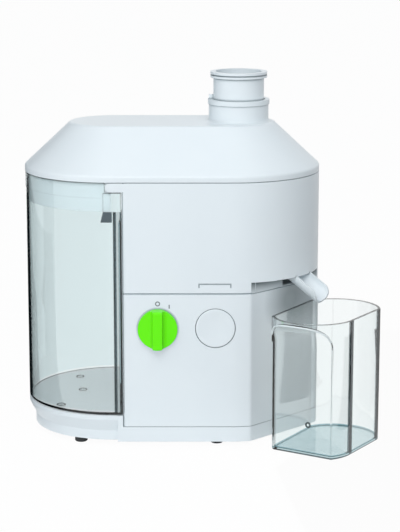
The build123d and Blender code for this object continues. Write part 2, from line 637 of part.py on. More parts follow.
with BuildPart() as upper_housing:
    with BuildSketch(BODY.offset(DECK_TOP)):
        housing_plan(recess=False)
    extrude(amount=RIM - GAP - DECK_TOP)
    chamfer(upper_housing.faces().sort_by(Axis.Z)[0].edges(), PARTING)
    chamfer(upper_housing.faces().sort_by(Axis.Z)[-1].edges(), SEAM)
    with BuildSketch(BODY.offset(SHELF_TOP)):
        stadium(WALL)
        with Locations((DIVIDE_X - WALL, 0)):
            Rectangle(BODY_LENGTH, BODY_LENGTH, align=(Align.MAX, Align.CENTER), mode=Mode.SUBTRACT)
    extrude(amount=RIM - SHELF_TOP, mode=Mode.SUBTRACT)
    with BuildSketch(BODY.offset(OVERHANG + WALL)):
        housing_plan(WALL, recess=False)
    extrude(amount=SHELF_TOP - OVERHANG - 2 * WALL, mode=Mode.SUBTRACT)
    with BuildSketch(BODY.offset(DECK_TOP)):
        housing_plan(WALL, recess=False)
        beyond_recess(0, Mode.ADD)
    extrude(amount=OVERHANG - DECK_TOP, mode=Mode.SUBTRACT)
    with BuildSketch(SPINDLE.offset(OVERHANG)):
        Circle(COLLECTOR_RADIUS + COLLECTOR_FIT)
    extrude(amount=SHELF_TOP - OVERHANG, mode=Mode.SUBTRACT)
    # Alignment mark over the button
    with BuildSketch(FRONT):
        with Locations((GROOVE_LEFT, GROOVE_BOTTOM)):
            Rectangle(GROOVE_RIGHT - GROOVE_LEFT, GROOVE_TOP - GROOVE_BOTTOM, align=Align.MIN)
        with Locations((GROOVE_LEFT + GROOVE_WIDTH, GROOVE_BOTTOM)):
            Rectangle(GROOVE_RIGHT - GROOVE_LEFT - 2 * GROOVE_WIDTH,
                      GROOVE_TOP - GROOVE_BOTTOM - GROOVE_WIDTH, align=Align.MIN, mode=Mode.SUBTRACT)
    extrude(amount=-GROOVE_DEPTH, mode=Mode.SUBTRACT)
    # Fingers that reach over the pulp container's front and back edges
    finger_middle = FINGER_BOTTOM + FINGER_HEIGHT / 2
    for side_plane, turn in ((FRONT, 1), (BACK, -1)):
        with BuildSketch(side_plane):
            with Locations((turn * (DIVIDE_X + FINGER_ROOT / 2 - FINGER_LENGTH / 2), finger_middle)):
                RectangleRounded(FINGER_LENGTH + FINGER_ROOT, FINGER_HEIGHT, FINGER_ROUND)
        extrude(amount=-WALL)
save(upper_housing, "upper_housing")

# Juice collector: the bowl round the basket, with a tube that keeps juice off the drive
TUBE_INNER = 16.0
TUBE_OUTER = 18.5
TUBE_TOP = 190.0
BOWL_WALL = 2.5
BOWL_FLOOR = OVERHANG + BOWL_WALL
FLANGE_RADIUS = 80.0
OUTLET_REACH = COLLECTOR_RADIUS - 9.0
OUTLET_LENGTH = 10.0
OUTLET_WIDTH = 18.0
OUTLET_CORNER = 3.0

with BuildPart() as juice_collector:
    with BuildSketch(SPINDLE_PROFILE):
        with BuildLine():
            Polyline(
                (TUBE_INNER, OVERHANG),
                (COLLECTOR_RADIUS, OVERHANG),
                (COLLECTOR_RADIUS, SHELF_TOP),
                (FLANGE_RADIUS, SHELF_TOP),
                (FLANGE_RADIUS, SHELF_TOP + BOWL_WALL),
                (COLLECTOR_RADIUS - BOWL_WALL, SHELF_TOP + BOWL_WALL),
                (COLLECTOR_RADIUS - BOWL_WALL, BOWL_FLOOR),
                (TUBE_OUTER, BOWL_FLOOR),
                (TUBE_OUTER, TUBE_TOP),
                (TUBE_INNER, TUBE_TOP),
                close=True,
            )
        make_face()
    revolve(axis=Axis((BODY_X + SPINDLE_X, BODY_Y, 0), (0, 0, 1)))
    # Outlet over the head of the spout
    with BuildSketch(SPOUT_RUN.offset(OVERHANG)):
        with Locations((OUTLET_REACH, 0)):
            RectangleRounded(OUTLET_LENGTH, OUTLET_WIDTH, OUTLET_CORNER)
    extrude(amount=BOWL_WALL, mode=Mode.SUBTRACT)
save(juice_collector, "juice_collector")

slope_run = cos(radians(SPOUT_SLOPE))
slope_drop = sin(radians(SPOUT_SLOPE))
SPOUT_TIP = (
    BODY_X + SPINDLE_X + SPOUT_TIP_REACH * bearing_x,
    BODY_Y + SPOUT_TIP_REACH * bearing_y,
    SPOUT_TIP_Z,
)
SPOUT_SECTION = Plane(
    SPOUT_TIP,
    x_dir=(bearing_y, -bearing_x, 0),
    z_dir=(-bearing_x * slope_run, -bearing_y * slope_run, slope_drop),
)
SPOUT_SIDE = Plane(
    SPOUT_TIP,
    x_dir=(bearing_x * slope_run, bearing_y * slope_run, -slope_drop),
    z_dir=(bearing_y, -bearing_x, 0),
)
TIP_ROUND = 10.0

with BuildPart() as spout:
    with BuildSketch(SPOUT_SECTION):
        Circle(SPOUT_RADIUS)
        Circle(SPOUT_RADIUS - SPOUT_WALL, mode=Mode.SUBTRACT)
        Rectangle(3 * SPOUT_RADIUS, 2 * SPOUT_RADIUS, align=(Align.CENTER, Align.MIN), mode=Mode.SUBTRACT)
    extrude(amount=SPOUT_LENGTH)
    with BuildSketch(SPINDLE.offset(OVERHANG)):
        Circle(END_RADIUS + GAP)
    extrude(amount=SPOUT_LENGTH, mode=Mode.SUBTRACT)
    # The sides are rounded off towards the tip
    with BuildSketch(SPOUT_SIDE):
        Rectangle(TIP_ROUND, TIP_ROUND, align=Align.MAX)
        with Locations((-TIP_ROUND, -TIP_ROUND)):
            Circle(TIP_ROUND, mode=Mode.SUBTRACT)
    extrude(amount=2 * SPOUT_RADIUS, both=True, mode=Mode.SUBTRACT)
save(spout, "spout")

# Filter basket: a hub that drops over the coupling, the grater disc, the slotted screen and its rim
HUB_SOCKET_RADIUS = 15.2
HUB_SOCKET_BOTTOM = 178.0
HUB_SKIRT_INNER = 20.0
HUB_SKIRT_BOTTOM = 172.0
HUB_BOTTOM = 196.0
HUB_TOP = 199.0
HUB_RADIUS = 46.0
SCREEN_TOP = 236.0
SCREEN_TOP_RADIUS = 64.0
SCREEN_THICK = 1.0
SCREEN_SLOTS = 36
SLOT_LENGTH = 8.0
SLOT_LEVELS = [202, 213, 224]
RIM_RING_TOP = 241.0
TOOTH_HEIGHT = 1.6
TOOTH_RADIUS = 1.5
TOOTH_TAPER = 20.0
DISC_RADIUS = 44.0
SOCKET_FIT = 0.5
SCREEN_FIT = 0.1
SLOT_WIDTH = 1.6
RIM_RING_OUTER = SCREEN_TOP_RADIUS + 3.5
RIM_RING_INNER = SCREEN_TOP_RADIUS - 1.2
RIM_RING_ROUND = 1.5
DISC_THICK = 1.2
TOOTH_RINGS = [(10, 6), (16, 10), (22, 14), (28, 18), (34, 22), (40, 26)]

with BuildPart() as basket_hub:
    with BuildSketch(SPINDLE.offset(HUB_BOTTOM)):
        Circle(HUB_RADIUS)
    extrude(amount=HUB_TOP - HUB_BOTTOM)
    with BuildSketch(SPINDLE.offset(HUB_SOCKET_BOTTOM)):
        Circle(HUB_SOCKET_RADIUS)
        RegularPolygon(COUPLING_HEX + SOCKET_FIT, 6, mode=Mode.SUBTRACT)
    extrude(amount=HUB_BOTTOM - HUB_SOCKET_BOTTOM)
    with BuildSketch(SPINDLE.offset(HUB_SKIRT_BOTTOM)):
        Circle(HUB_SKIRT_INNER + BOWL_WALL)
        Circle(HUB_SKIRT_INNER, mode=Mode.SUBTRACT)
    extrude(amount=HUB_BOTTOM - HUB_SKIRT_BOTTOM)
save(basket_hub, "basket_hub")

with BuildPart() as grater_disc:
    with BuildSketch(SPINDLE.offset(HUB_TOP)):
        Circle(DISC_RADIUS)
    extrude(amount=DISC_THICK)
    for ring_radius, tooth_count in TOOTH_RINGS:
        with BuildSketch(SPINDLE.offset(HUB_TOP + DISC_THICK)):
            with PolarLocations(ring_radius, tooth_count):
                RegularPolygon(TOOTH_RADIUS, 3)
        extrude(amount=TOOTH_HEIGHT, taper=TOOTH_TAPER)
save(grater_disc, "grater_disc")

with BuildPart() as filter_screen:
    with BuildSketch(SPINDLE_PROFILE):
        with BuildLine():
            Polyline(
                (HUB_RADIUS + SCREEN_FIT, HUB_BOTTOM),
                (HUB_RADIUS + SCREEN_THICK, HUB_BOTTOM),
                (HUB_RADIUS + SCREEN_THICK, HUB_TOP),
                (SCREEN_TOP_RADIUS + SCREEN_THICK, SCREEN_TOP),
                (SCREEN_TOP_RADIUS, SCREEN_TOP),
                (HUB_RADIUS + SCREEN_FIT, HUB_TOP),
                close=True,
            )
        make_face()
    revolve(axis=Axis((BODY_X + SPINDLE_X, BODY_Y, 0), (0, 0, 1)))
    spread = (SCREEN_TOP_RADIUS - HUB_RADIUS) / (SCREEN_TOP - HUB_TOP)
    for slot_level in SLOT_LEVELS:
        slot_radius = HUB_RADIUS + spread * (slot_level + SLOT_LENGTH / 2 - HUB_TOP)
        with BuildSketch(SPINDLE.offset(slot_level)):
            with PolarLocations(slot_radius, SCREEN_SLOTS):
                Rectangle(SLOT_LENGTH, SLOT_WIDTH)
        extrude(amount=SLOT_LENGTH, mode=Mode.SUBTRACT)
save(filter_screen, "filter_screen")

with BuildPart() as basket_rim:
    with BuildSketch(SPINDLE.offset(SCREEN_TOP)):
        Circle(RIM_RING_OUTER)
        Circle(RIM_RING_INNER, mode=Mode.SUBTRACT)
    extrude(amount=RIM_RING_TOP - SCREEN_TOP)
    fillet(basket_rim.faces().sort_by(Axis.Z)[-1].edges(), RIM_RING_ROUND)
save(basket_rim, "basket_rim")

# Lid: sloping shoulder and flat top, with a locating lip below. On the left the lip hangs
# deeper, as a skirt that guides pulp down into the container. A stepped hole in the top
# seats the feed chute.
LID_WALL = 2.6
SHOULDER_RUN = 45.0
SHOULDER_ANGLE = atan((LID_TOP - LID_BAND_TOP) / SHOULDER_RUN)
CHUTE_RADIUS = 29.3
CHUTE_BORE = 25.6
CHUTE_BOTTOM = 213.0
CHUTE_TUBE_RADIUS = 28.3
COLLAR_RADIUS = 30.2
COLLAR_HEIGHT = 4.5
LIP_INSET = 3.7
LIP_WIDTH = 2.0
LIP_BOTTOM = 256.0
LIP_TOP = 267.2
LID_SKIRT_RIGHT = -57.0
NOTCH_DEPTH = 5.0
NOTCH_WIDTH = 5.0
TOP_ROUND = 5.0
BAND_ROUND = 3.0
CHUTE_ROOT_ROUND = 3.0
CHUTE_FLANGE_RADIUS = 32.5
CHUTE_FLANGE_THICK = 1.3
CHUTE_FLANGE_FIT = 0.05
CHUTE_SEAT_RADIUS = 30.5
LEVEL_BAND = 0.1

with BuildPart() as lid:
    with BuildSketch(BODY.offset(RIM)):
        stadium()
    extrude(amount=LID_BAND_TOP - RIM)
    with BuildSketch(BODY.offset(LID_BAND_TOP)):
        stadium()
    with BuildSketch(BODY.offset(LID_TOP)):
        stadium(SHOULDER_RUN)
    loft(ruled=True)
    fillet(lid.faces().sort_by(Axis.Z)[-1].edges(), TOP_ROUND)
    band_edges = lid.edges().filter_by_position(Axis.Z, LID_BAND_TOP - LEVEL_BAND, LID_BAND_TOP + LEVEL_BAND)
    fillet(band_edges, BAND_ROUND)
    # Hollow underside, parallel to the outside
    inner_band_top = LID_BAND_TOP - LID_WALL * tan((radians(90) - SHOULDER_ANGLE) / 2)
    inner_run = SHOULDER_RUN + LID_WALL * tan(SHOULDER_ANGLE / 2)
    with BuildSketch(BODY.offset(RIM)):
        stadium(LID_WALL)
    extrude(amount=inner_band_top - RIM, mode=Mode.SUBTRACT)
    with BuildSketch(BODY.offset(inner_band_top)):
        stadium(LID_WALL)
    with BuildSketch(BODY.offset(LID_TOP - LID_WALL)):
        stadium(inner_run)
    loft(ruled=True, mode=Mode.SUBTRACT)
    with BuildSketch(BODY.offset(LIP_BOTTOM)):
        stadium(LIP_INSET)
        offset(amount=-LIP_WIDTH, mode=Mode.SUBTRACT)
    extrude(amount=LIP_TOP - LIP_BOTTOM)
    with BuildSketch(BODY.offset(SHELF_TOP)):
        container_plan(LIP_INSET, LID_SKIRT_RIGHT)
        SlotCenterToCenter(2 * HALF_STRAIGHT, 2 * (END_RADIUS - LIP_INSET - LIP_WIDTH), mode=Mode.SUBTRACT)
    extrude(amount=LIP_TOP - SHELF_TOP)
    with BuildSketch(CHUTE.offset(LID_TOP)):
        Circle(CHUTE_FLANGE_RADIUS + CHUTE_FLANGE_FIT)
    extrude(amount=-CHUTE_FLANGE_THICK, mode=Mode.SUBTRACT)
    with BuildSketch(CHUTE.offset(LID_TOP)):
        Circle(CHUTE_SEAT_RADIUS)
    extrude(amount=-2 * LID_WALL, mode=Mode.SUBTRACT)
save(lid, "lid")

# Feed chute: a flanged tube with a collar, which reaches down to just above the grater
with BuildPart() as feed_chute:
    with BuildSketch(CHUTE.offset(CHUTE_BOTTOM)):
        Circle(CHUTE_TUBE_RADIUS)
    extrude(amount=LID_TOP - CHUTE_BOTTOM)
    with BuildSketch(CHUTE.offset(LID_TOP)):
        Circle(CHUTE_FLANGE_RADIUS)
    extrude(amount=-CHUTE_FLANGE_THICK)
    with BuildSketch(CHUTE.offset(LID_TOP)):
        Circle(CHUTE_RADIUS)
    extrude(amount=CHUTE_TOP - LID_TOP)
    root_edges = feed_chute.edges().filter_by_position(Axis.Z, LID_TOP - LEVEL_BAND, LID_TOP + LEVEL_BAND)
    fillet(root_edges.sort_by(SortBy.RADIUS)[0], CHUTE_ROOT_ROUND)
    with BuildSketch(CHUTE.offset(CHUTE_TOP - COLLAR_HEIGHT)):
        Circle(COLLAR_RADIUS)
    extrude(amount=COLLAR_HEIGHT)
    with BuildSketch(CHUTE.offset(CHUTE_BOTTOM)):
        Circle(CHUTE_BORE)
    extrude(amount=CHUTE_TOP - CHUTE_BOTTOM, mode=Mode.SUBTRACT)
    with BuildSketch(CHUTE.offset(CHUTE_TOP - NOTCH_DEPTH)):
        with Locations((-CHUTE_RADIUS, 0)):
            Rectangle(2 * NOTCH_WIDTH, NOTCH_WIDTH)
    extrude(amount=NOTCH_DEPTH, mode=Mode.SUBTRACT)
save(feed_chute, "feed_chute")

# Pusher: a cup with a double-lipped rim, and a rib that rests in the notch of the chute
PUSHER_RADIUS = 24.8
PUSHER_BOTTOM = 210.0
PUSHER_WALL = 2.2
PUSHER_RIM_RADIUS = 27.8
PUSHER_RIM_HEIGHT = 5.6
RIB_HEIGHT = 9.0
RIB_SINK = 1.0
RIB_FIT = 0.3
LIP_GROOVE_BOTTOM = PUSHER_TOP - PUSHER_RIM_HEIGHT + 2.0
LIP_GROOVE_HEIGHT = 1.4
LIP_GROOVE_DEPTH = 1.2

with BuildPart() as pusher:
    with BuildSketch(CHUTE.offset(PUSHER_BOTTOM)):
        Circle(PUSHER_RADIUS)
    extrude(amount=PUSHER_TOP - PUSHER_BOTTOM)
    with BuildSketch(CHUTE.offset(PUSHER_TOP - PUSHER_RIM_HEIGHT)):
        Circle(PUSHER_RIM_RADIUS)
    extrude(amount=PUSHER_RIM_HEIGHT)
    with BuildSketch(CHUTE.offset(LIP_GROOVE_BOTTOM)):
        Circle(PUSHER_RIM_RADIUS)
        Circle(PUSHER_RIM_RADIUS - LIP_GROOVE_DEPTH, mode=Mode.SUBTRACT)
    extrude(amount=LIP_GROOVE_HEIGHT, mode=Mode.SUBTRACT)
    with BuildSketch(CHUTE.offset(PUSHER_BOTTOM + PUSHER_WALL)):
        Circle(PUSHER_RADIUS - PUSHER_WALL)
    extrude(amount=PUSHER_TOP, mode=Mode.SUBTRACT)
    with BuildSketch(CHUTE.offset(CHUTE_TOP - NOTCH_DEPTH + RIB_FIT)):
        with Locations((RIB_SINK - PUSHER_RADIUS, 0)):
            Rectangle(COLLAR_RADIUS - PUSHER_RADIUS, NOTCH_WIDTH - 2 * GAP, align=(Align.MAX, Align.CENTER))
    extrude(amount=RIB_HEIGHT)
save(pusher, "pusher")

# Pulp container: a clear D-shaped bin, open on top and over its inner wall. A round-edged rail
# runs up its front to a grip block, and a dark thumb pad lies on the slope below the block.
BIN_INSET = 0.6
BIN_RIGHT = DIVIDE_X - 0.5
BIN_BOTTOM = TRAY_TOP + 0.3
BIN_TOP = RIM - SEAM
BIN_FOOT_ROUND = 2.0
BIN_INNER_WALL_TOP = 222.0
BIN_NOTCH_LEFT = DIVIDE_X - FINGER_LENGTH - 0.5
BIN_NOTCH_TOP = FINGER_BOTTOM - 0.6
RIM_BAND_BOTTOM = 245.0
RIM_BAND_INSET = 0.1
RAIL_LEFT = -54.6
RAIL_FRONT = 88.3
RAIL_DEPTH = 4.0
RAIL_ROUND = 1.5
RAIL_BOTTOM = BIN_BOTTOM + 2.0
GRIP_LEFT = -64.0
GRIP_BOTTOM = 232.0
GRIP_ROUND = 0.8
PAD_LEFT = GRIP_LEFT - 2.5
PAD_RIGHT = RAIL_LEFT - 1.5
PAD_BOTTOM = 222.0
PAD_THICK = 1.2


def thumb_slope():
    """The slanted outline of the thumb pad, in the front view."""
    Polygon((PAD_LEFT, PAD_BOTTOM), (PAD_RIGHT, PAD_BOTTOM), (PAD_RIGHT, GRIP_BOTTOM),
            (GRIP_LEFT, GRIP_BOTTOM), align=None)


with BuildPart() as pulp_container:
    with BuildSketch(BODY.offset(BIN_BOTTOM)):
        container_plan(BIN_INSET, BIN_RIGHT)
    extrude(amount=BIN_TOP - BIN_BOTTOM)
    fillet(pulp_container.faces().sort_by(Axis.Z)[0].edges(), BIN_FOOT_ROUND)
    with BuildSketch(BODY.offset(RIM_BAND_BOTTOM)):
        container_plan(RIM_BAND_INSET, BIN_RIGHT)
    extrude(amount=BIN_TOP - RIM_BAND_BOTTOM)
    with BuildSketch(BODY.offset(RAIL_BOTTOM)):
        with Locations((RAIL_LEFT, -RAIL_FRONT)):
            Rectangle(BIN_RIGHT - RAIL_LEFT, RAIL_DEPTH, align=Align.MIN)
        fillet(vertices().group_by(Axis.Y)[0], RAIL_ROUND)
    extrude(amount=BIN_NOTCH_TOP - RAIL_BOTTOM)
    with BuildSketch(BODY.offset(GRIP_BOTTOM)):
        with Locations((GRIP_LEFT, -RAIL_FRONT)):
            Rectangle(RAIL_LEFT + RAIL_ROUND - GRIP_LEFT, RAIL_DEPTH, align=Align.MIN)
        fillet(vertices().group_by(Axis.Y)[0].sort_by(Axis.X)[0], GRIP_ROUND)
    extrude(amount=BIN_NOTCH_TOP - GRIP_BOTTOM)
    with BuildSketch(FRONT.offset(RAIL_FRONT - END_RADIUS - PAD_THICK)):
        thumb_slope()
    extrude(amount=PAD_THICK - RAIL_DEPTH)
    with BuildSketch(BODY.offset(BIN_BOTTOM + CLEAR_WALL)):
        container_plan(BIN_INSET + CLEAR_WALL, BIN_RIGHT - CLEAR_WALL)
    extrude(amount=BIN_TOP, mode=Mode.SUBTRACT)
    with BuildSketch(BODY.offset(BIN_INNER_WALL_TOP)):
        with Locations((BIN_RIGHT - 2 * CLEAR_WALL, 0)):
            Rectangle(BODY_LENGTH, 2 * (END_RADIUS - BIN_INSET - CLEAR_WALL), align=(Align.MIN, Align.CENTER))
    extrude(amount=BIN_TOP, mode=Mode.SUBTRACT)
    with BuildSketch(BODY.offset(BIN_NOTCH_TOP)):
        with Locations((BIN_NOTCH_LEFT, 0)):
            Rectangle(BODY_LENGTH, BODY_LENGTH, align=(Align.MIN, Align.CENTER))
    extrude(amount=BIN_TOP, mode=Mode.SUBTRACT)
save(pulp_container, "pulp_container")

with BuildPart() as thumb_pad:
    with BuildSketch(FRONT.offset(RAIL_FRONT - END_RADIUS)):
        thumb_slope()
    extrude(amount=-PAD_THICK)
save(thumb_pad, "thumb_pad")

# Juice jug: a clear D with one bowed side, a flat front facet and a scooped pouring lip.
# Across runs away from the recess's wall, and along runs to the back.
JUG_TURN = -31.5
JUG_OFFSET = 131.5
JUG_TOP = 133.0
JUG_FLOOR = 3.0
FACET = -31.0
LIP_SCOOP = 22.0
LIP_SCOOP_Z = 108.0
JUG_CORNER = 3.0
JUG_FOOT_ROUND = 2.5
across_x = cos(radians(JUG_TURN))
across_y = sin(radians(JUG_TURN))
JUG = Plane(
    (BODY_X + JUG_OFFSET * across_x, BODY_Y + JUG_OFFSET * across_y, 0),
    x_dir=(across_x, across_y, 0),
    z_dir=(0, 0, 1),
)
# Side view of the lip, looking along the facet: x runs to the back and y runs up
JUG_SIDE = Plane(JUG.origin, x_dir=(-across_y, across_x, 0), z_dir=(across_x, across_y, 0))


# The rim's outline: a straight inner side, a bowed back and a bowed front that is the lip
with BuildLine() as jug_rim:
    Line((0, 48), (0, FACET))
    ThreePointArc((0, FACET), (48, -44), (74, -9.4))
    Line((74, -9.4), (75, 50))
    ThreePointArc((75, 50), (37, 72), (0, 48))


def jug_body_plan():
    """The rim's outline, cut straight along the front facet."""
    make_face(jug_rim.edges())
    with Locations((0, FACET)):
        Rectangle(BODY_LENGTH, BODY_LENGTH, align=(Align.CENTER, Align.MAX), mode=Mode.SUBTRACT)


with BuildPart() as jug_hollow:
    with BuildSketch(JUG.offset(LIP_SCOOP_Z)):
        make_face(jug_rim.edges())
        offset(amount=-CLEAR_WALL, kind=Kind.INTERSECTION, mode=Mode.REPLACE)
    extrude(amount=JUG_TOP)
    with BuildSketch(JUG_SIDE):
        with Locations((FACET - LIP_SCOOP, LIP_SCOOP_Z)):
            Circle(LIP_SCOOP + CLEAR_WALL)
    extrude(amount=BODY_LENGTH, both=True, mode=Mode.SUBTRACT)
    with BuildSketch(JUG.offset(JUG_FLOOR)):
        jug_body_plan()
        offset(amount=-CLEAR_WALL, kind=Kind.INTERSECTION, mode=Mode.REPLACE)
        fillet(vertices(), JUG_CORNER - CLEAR_WALL)
    extrude(amount=JUG_TOP)

with BuildPart() as juice_jug:
    # The lip's underside is a hollow quarter round
    with BuildSketch(JUG.offset(LIP_SCOOP_Z)):
        make_face(jug_rim.edges())
    extrude(amount=JUG_TOP - LIP_SCOOP_Z)
    with BuildSketch(JUG_SIDE):
        with Locations((FACET - LIP_SCOOP, LIP_SCOOP_Z)):
            Circle(LIP_SCOOP)
    extrude(amount=BODY_LENGTH, both=True, mode=Mode.SUBTRACT)
    with BuildSketch(JUG):
        jug_body_plan()
        fillet(vertices(), JUG_CORNER)
    extrude(amount=JUG_TOP)
    fillet(juice_jug.faces().sort_by(Axis.Z)[0].edges(), JUG_FOOT_ROUND)
    add(jug_hollow.part, mode=Mode.SUBTRACT)
save(juice_jug, "juice_jug")

# Control knob: a disc with two scoops that leave a grip bar
KNOB_DISC = 5.6
KNOB_DEPTH = 14.0
GRIP_HALF = 4.5
SCOOP_SIZE = 24.0
SPINDLE_RADIUS = 3.5
SOCKET_DEPTH = 4.0
KNOB_ROUND = 2.0
SCOOP_ROUND = 5.0

with BuildPart() as control_knob:
    with BuildSketch(FRONT.offset(GAP)):
        with Locations((KNOB_X, CONTROL_Z)):
            Circle(CONTROL_RADIUS)
    extrude(amount=KNOB_DEPTH)
    fillet(control_knob.faces().sort_by(Axis.Y)[0].edges(), KNOB_ROUND)
    with BuildSketch(BODY.offset(CONTROL_Z)):
        for side in (1, -1):
            with Locations((KNOB_X + side * (GRIP_HALF + SCOOP_SIZE / 2),
                            -END_RADIUS - GAP - KNOB_DISC - SCOOP_SIZE / 2)):
                RectangleRounded(SCOOP_SIZE, SCOOP_SIZE, SCOOP_ROUND)
    extrude(amount=2 * CONTROL_RADIUS, both=True, mode=Mode.SUBTRACT)
    with BuildSketch(FRONT.offset(GAP)):
        with Locations((KNOB_X, CONTROL_Z)):
            Circle(SPINDLE_RADIUS)
    extrude(amount=SOCKET_DEPTH, mode=Mode.SUBTRACT)
save(control_knob, "control_knob")

SWITCH_DEPTH = 22.0
SPINDLE_REACH = 18.0
SWITCH_WIDTH = 28.0
SWITCH_HEIGHT = 26.0
SWITCH_CORNER = 3.0
TAG_PITCH = 8.0
TAG_WIDTH = 4.8
TAG_THICK = 0.8
TAG_LENGTH = 8.0

with BuildPart() as knob_spindle:
    with BuildSketch(FRONT.offset(GAP + SOCKET_DEPTH)):
        with Locations((KNOB_X, CONTROL_Z)):
            Circle(SPINDLE_RADIUS)
    extrude(amount=-(GAP + SOCKET_DEPTH + SPINDLE_REACH))
save(knob_spindle, "knob_spindle")

with BuildPart() as rotary_switch:
    with BuildSketch(FRONT.offset(-WALL)):
        with Locations((KNOB_X, CONTROL_Z)):
            RectangleRounded(SWITCH_WIDTH, SWITCH_HEIGHT, SWITCH_CORNER)
    extrude(amount=-SWITCH_DEPTH)
    with BuildSketch(FRONT.offset(-WALL - SWITCH_DEPTH)):
        with Locations((KNOB_X, CONTROL_Z)):
            with GridLocations(TAG_PITCH, 0, 3, 1):
                Rectangle(TAG_WIDTH, TAG_THICK)
    extrude(amount=-TAG_LENGTH)
    with BuildSketch(FRONT.offset(-WALL)):
        with Locations((KNOB_X, CONTROL_Z)):
            Circle(SPINDLE_RADIUS + RUNNING_FIT)
    extrude(amount=-SPINDLE_REACH, mode=Mode.SUBTRACT)
save(rotary_switch, "rotary_switch")

# Release button: a dished cap on a stem. The catch on the stem rises through the deck, and a
# spring behind it pushes the cap out again.
CAP_FRONT = 0.3
CAP_DEPTH = 8.0
CAP_WALL = 2.4
DISH_DEPTH = 0.9
DISH_RADIUS = 150.0
CATCH_BOTTOM = 110.0
CATCH_TOP = 159.0
STEM_END = 28.0
CAP_ROUND = 1.0

with BuildPart() as release_button:
    with BuildSketch(FRONT.offset(CAP_FRONT - CAP_DEPTH)):
        with Locations((BUTTON_X, CONTROL_Z)):
            Circle(CONTROL_RADIUS)
    extrude(amount=CAP_DEPTH)
    fillet(release_button.faces().sort_by(Axis.Y)[0].edges(), CAP_ROUND)
    with BuildSketch(FRONT.offset(CAP_FRONT - CAP_DEPTH)):
        with Locations((BUTTON_X, CONTROL_Z)):
            Circle(CONTROL_RADIUS - CAP_WALL)
    extrude(amount=CAP_DEPTH - 2 * CAP_WALL, mode=Mode.SUBTRACT)
    dish_centre = BODY_Y - END_RADIUS - CAP_FRONT + DISH_DEPTH - DISH_RADIUS
    with Locations((BODY_X + BUTTON_X, dish_centre, CONTROL_Z)):
        Sphere(DISH_RADIUS, mode=Mode.SUBTRACT)
    with BuildSketch(FRONT.offset(-STEM_END)):
        with Locations((BUTTON_X, CONTROL_Z)):
            Circle(STEM_RADIUS)
    extrude(amount=STEM_END - CAP_WALL)
save(release_button, "release_button")

with BuildPart() as release_catch:
    with BuildSketch(FRONT.offset(-ARM_FRONT)):
        with Locations((BUTTON_X, CATCH_BOTTOM)):
            Rectangle(ARM_WIDTH, CATCH_TOP - CATCH_BOTTOM, align=(Align.CENTER, Align.MIN))
        with Locations((BUTTON_X, CONTROL_Z)):
            Circle(STEM_RADIUS, mode=Mode.SUBTRACT)
    extrude(amount=-ARM_THICK)
save(release_catch, "release_catch")

SPRING_RADIUS = 6.5
SPRING_WIRE = 0.4
SPRING_TURNS = 3.5
SPRING_PLAY = 0.1
spring_start = ARM_FRONT + ARM_THICK + SPRING_WIRE + SPRING_PLAY
spring_end = BUTTON_TUBE_BACK - BUTTON_TUBE_WALL - SPRING_WIRE - SPRING_PLAY
SPRING_SEAT = Plane((BODY_X + BUTTON_X, BODY_Y - END_RADIUS + spring_start, CONTROL_Z),
                    x_dir=(1, 0, 0), z_dir=(0, 1, 0))

with BuildPart() as button_spring:
    with BuildLine(SPRING_SEAT) as coil:
        spring_length = spring_end - spring_start
        Helix(spring_length / SPRING_TURNS, spring_length, SPRING_RADIUS, direction=(0, 1, 0))
    with BuildSketch(Plane(coil.line @ 0, z_dir=coil.line % 0)):
        Circle(SPRING_WIRE)
    sweep()
save(button_spring, "button_spring")

# Electrical pieces: interlock switch under the deck, terminal block and suppressor on the base
INTERLOCK_PLACE = (-20, 40)
INTERLOCK_LENGTH = 20.0
INTERLOCK_WIDTH = 10.0
INTERLOCK_HEIGHT = 16.0
INTERLOCK_TAG_PITCH = 7.0
TERMINAL_PLACE = (-8, 55)
TERMINAL_LENGTH = 32.0
TERMINAL_WIDTH = 16.0
TERMINAL_HEIGHT = 14.0
TERMINAL_PITCH = 10.0
TERMINAL_WELL_RADIUS = 3.0
TERMINAL_WELL_DEPTH = 5.0
SUPPRESSOR_PLACE = (-22, -40)
SUPPRESSOR_WIDTH = 18.0
SUPPRESSOR_LENGTH = 32.0
SUPPRESSOR_HEIGHT = 16.0
SUPPRESSOR_ROUND = 2.0

with BuildPart() as interlock_switch:
    with BuildSketch(BODY.offset(DECK_UNDER)):
        with Locations(INTERLOCK_PLACE):
            Rectangle(INTERLOCK_LENGTH, INTERLOCK_WIDTH)
    extrude(amount=-INTERLOCK_HEIGHT)
    with BuildSketch(BODY.offset(DECK_UNDER - INTERLOCK_HEIGHT)):
        with Locations(INTERLOCK_PLACE):
            with GridLocations(INTERLOCK_TAG_PITCH, 0, 3, 1):
                Rectangle(TAG_THICK, TAG_WIDTH)
    extrude(amount=-TAG_LENGTH)
save(interlock_switch, "interlock_switch")

with BuildPart() as terminal_block:
    with BuildSketch(BODY.offset(FLOOR_TOP)):
        with Locations(TERMINAL_PLACE):
            Rectangle(TERMINAL_LENGTH, TERMINAL_WIDTH)
    extrude(amount=TERMINAL_HEIGHT)
    with BuildSketch(BODY.offset(FLOOR_TOP + TERMINAL_HEIGHT)):
        with Locations(TERMINAL_PLACE):
            with GridLocations(TERMINAL_PITCH, 0, 3, 1):
                Circle(TERMINAL_WELL_RADIUS)
    extrude(amount=-TERMINAL_WELL_DEPTH, mode=Mode.SUBTRACT)
save(terminal_block, "terminal_block")

with BuildPart() as suppressor:
    with BuildSketch(BODY.offset(FLOOR_TOP)):
        with Locations(SUPPRESSOR_PLACE):
            Rectangle(SUPPRESSOR_WIDTH, SUPPRESSOR_LENGTH)
    extrude(amount=SUPPRESSOR_HEIGHT)
    fillet(suppressor.edges().filter_by(Axis.Z), SUPPRESSOR_ROUND)
save(suppressor, "suppressor")

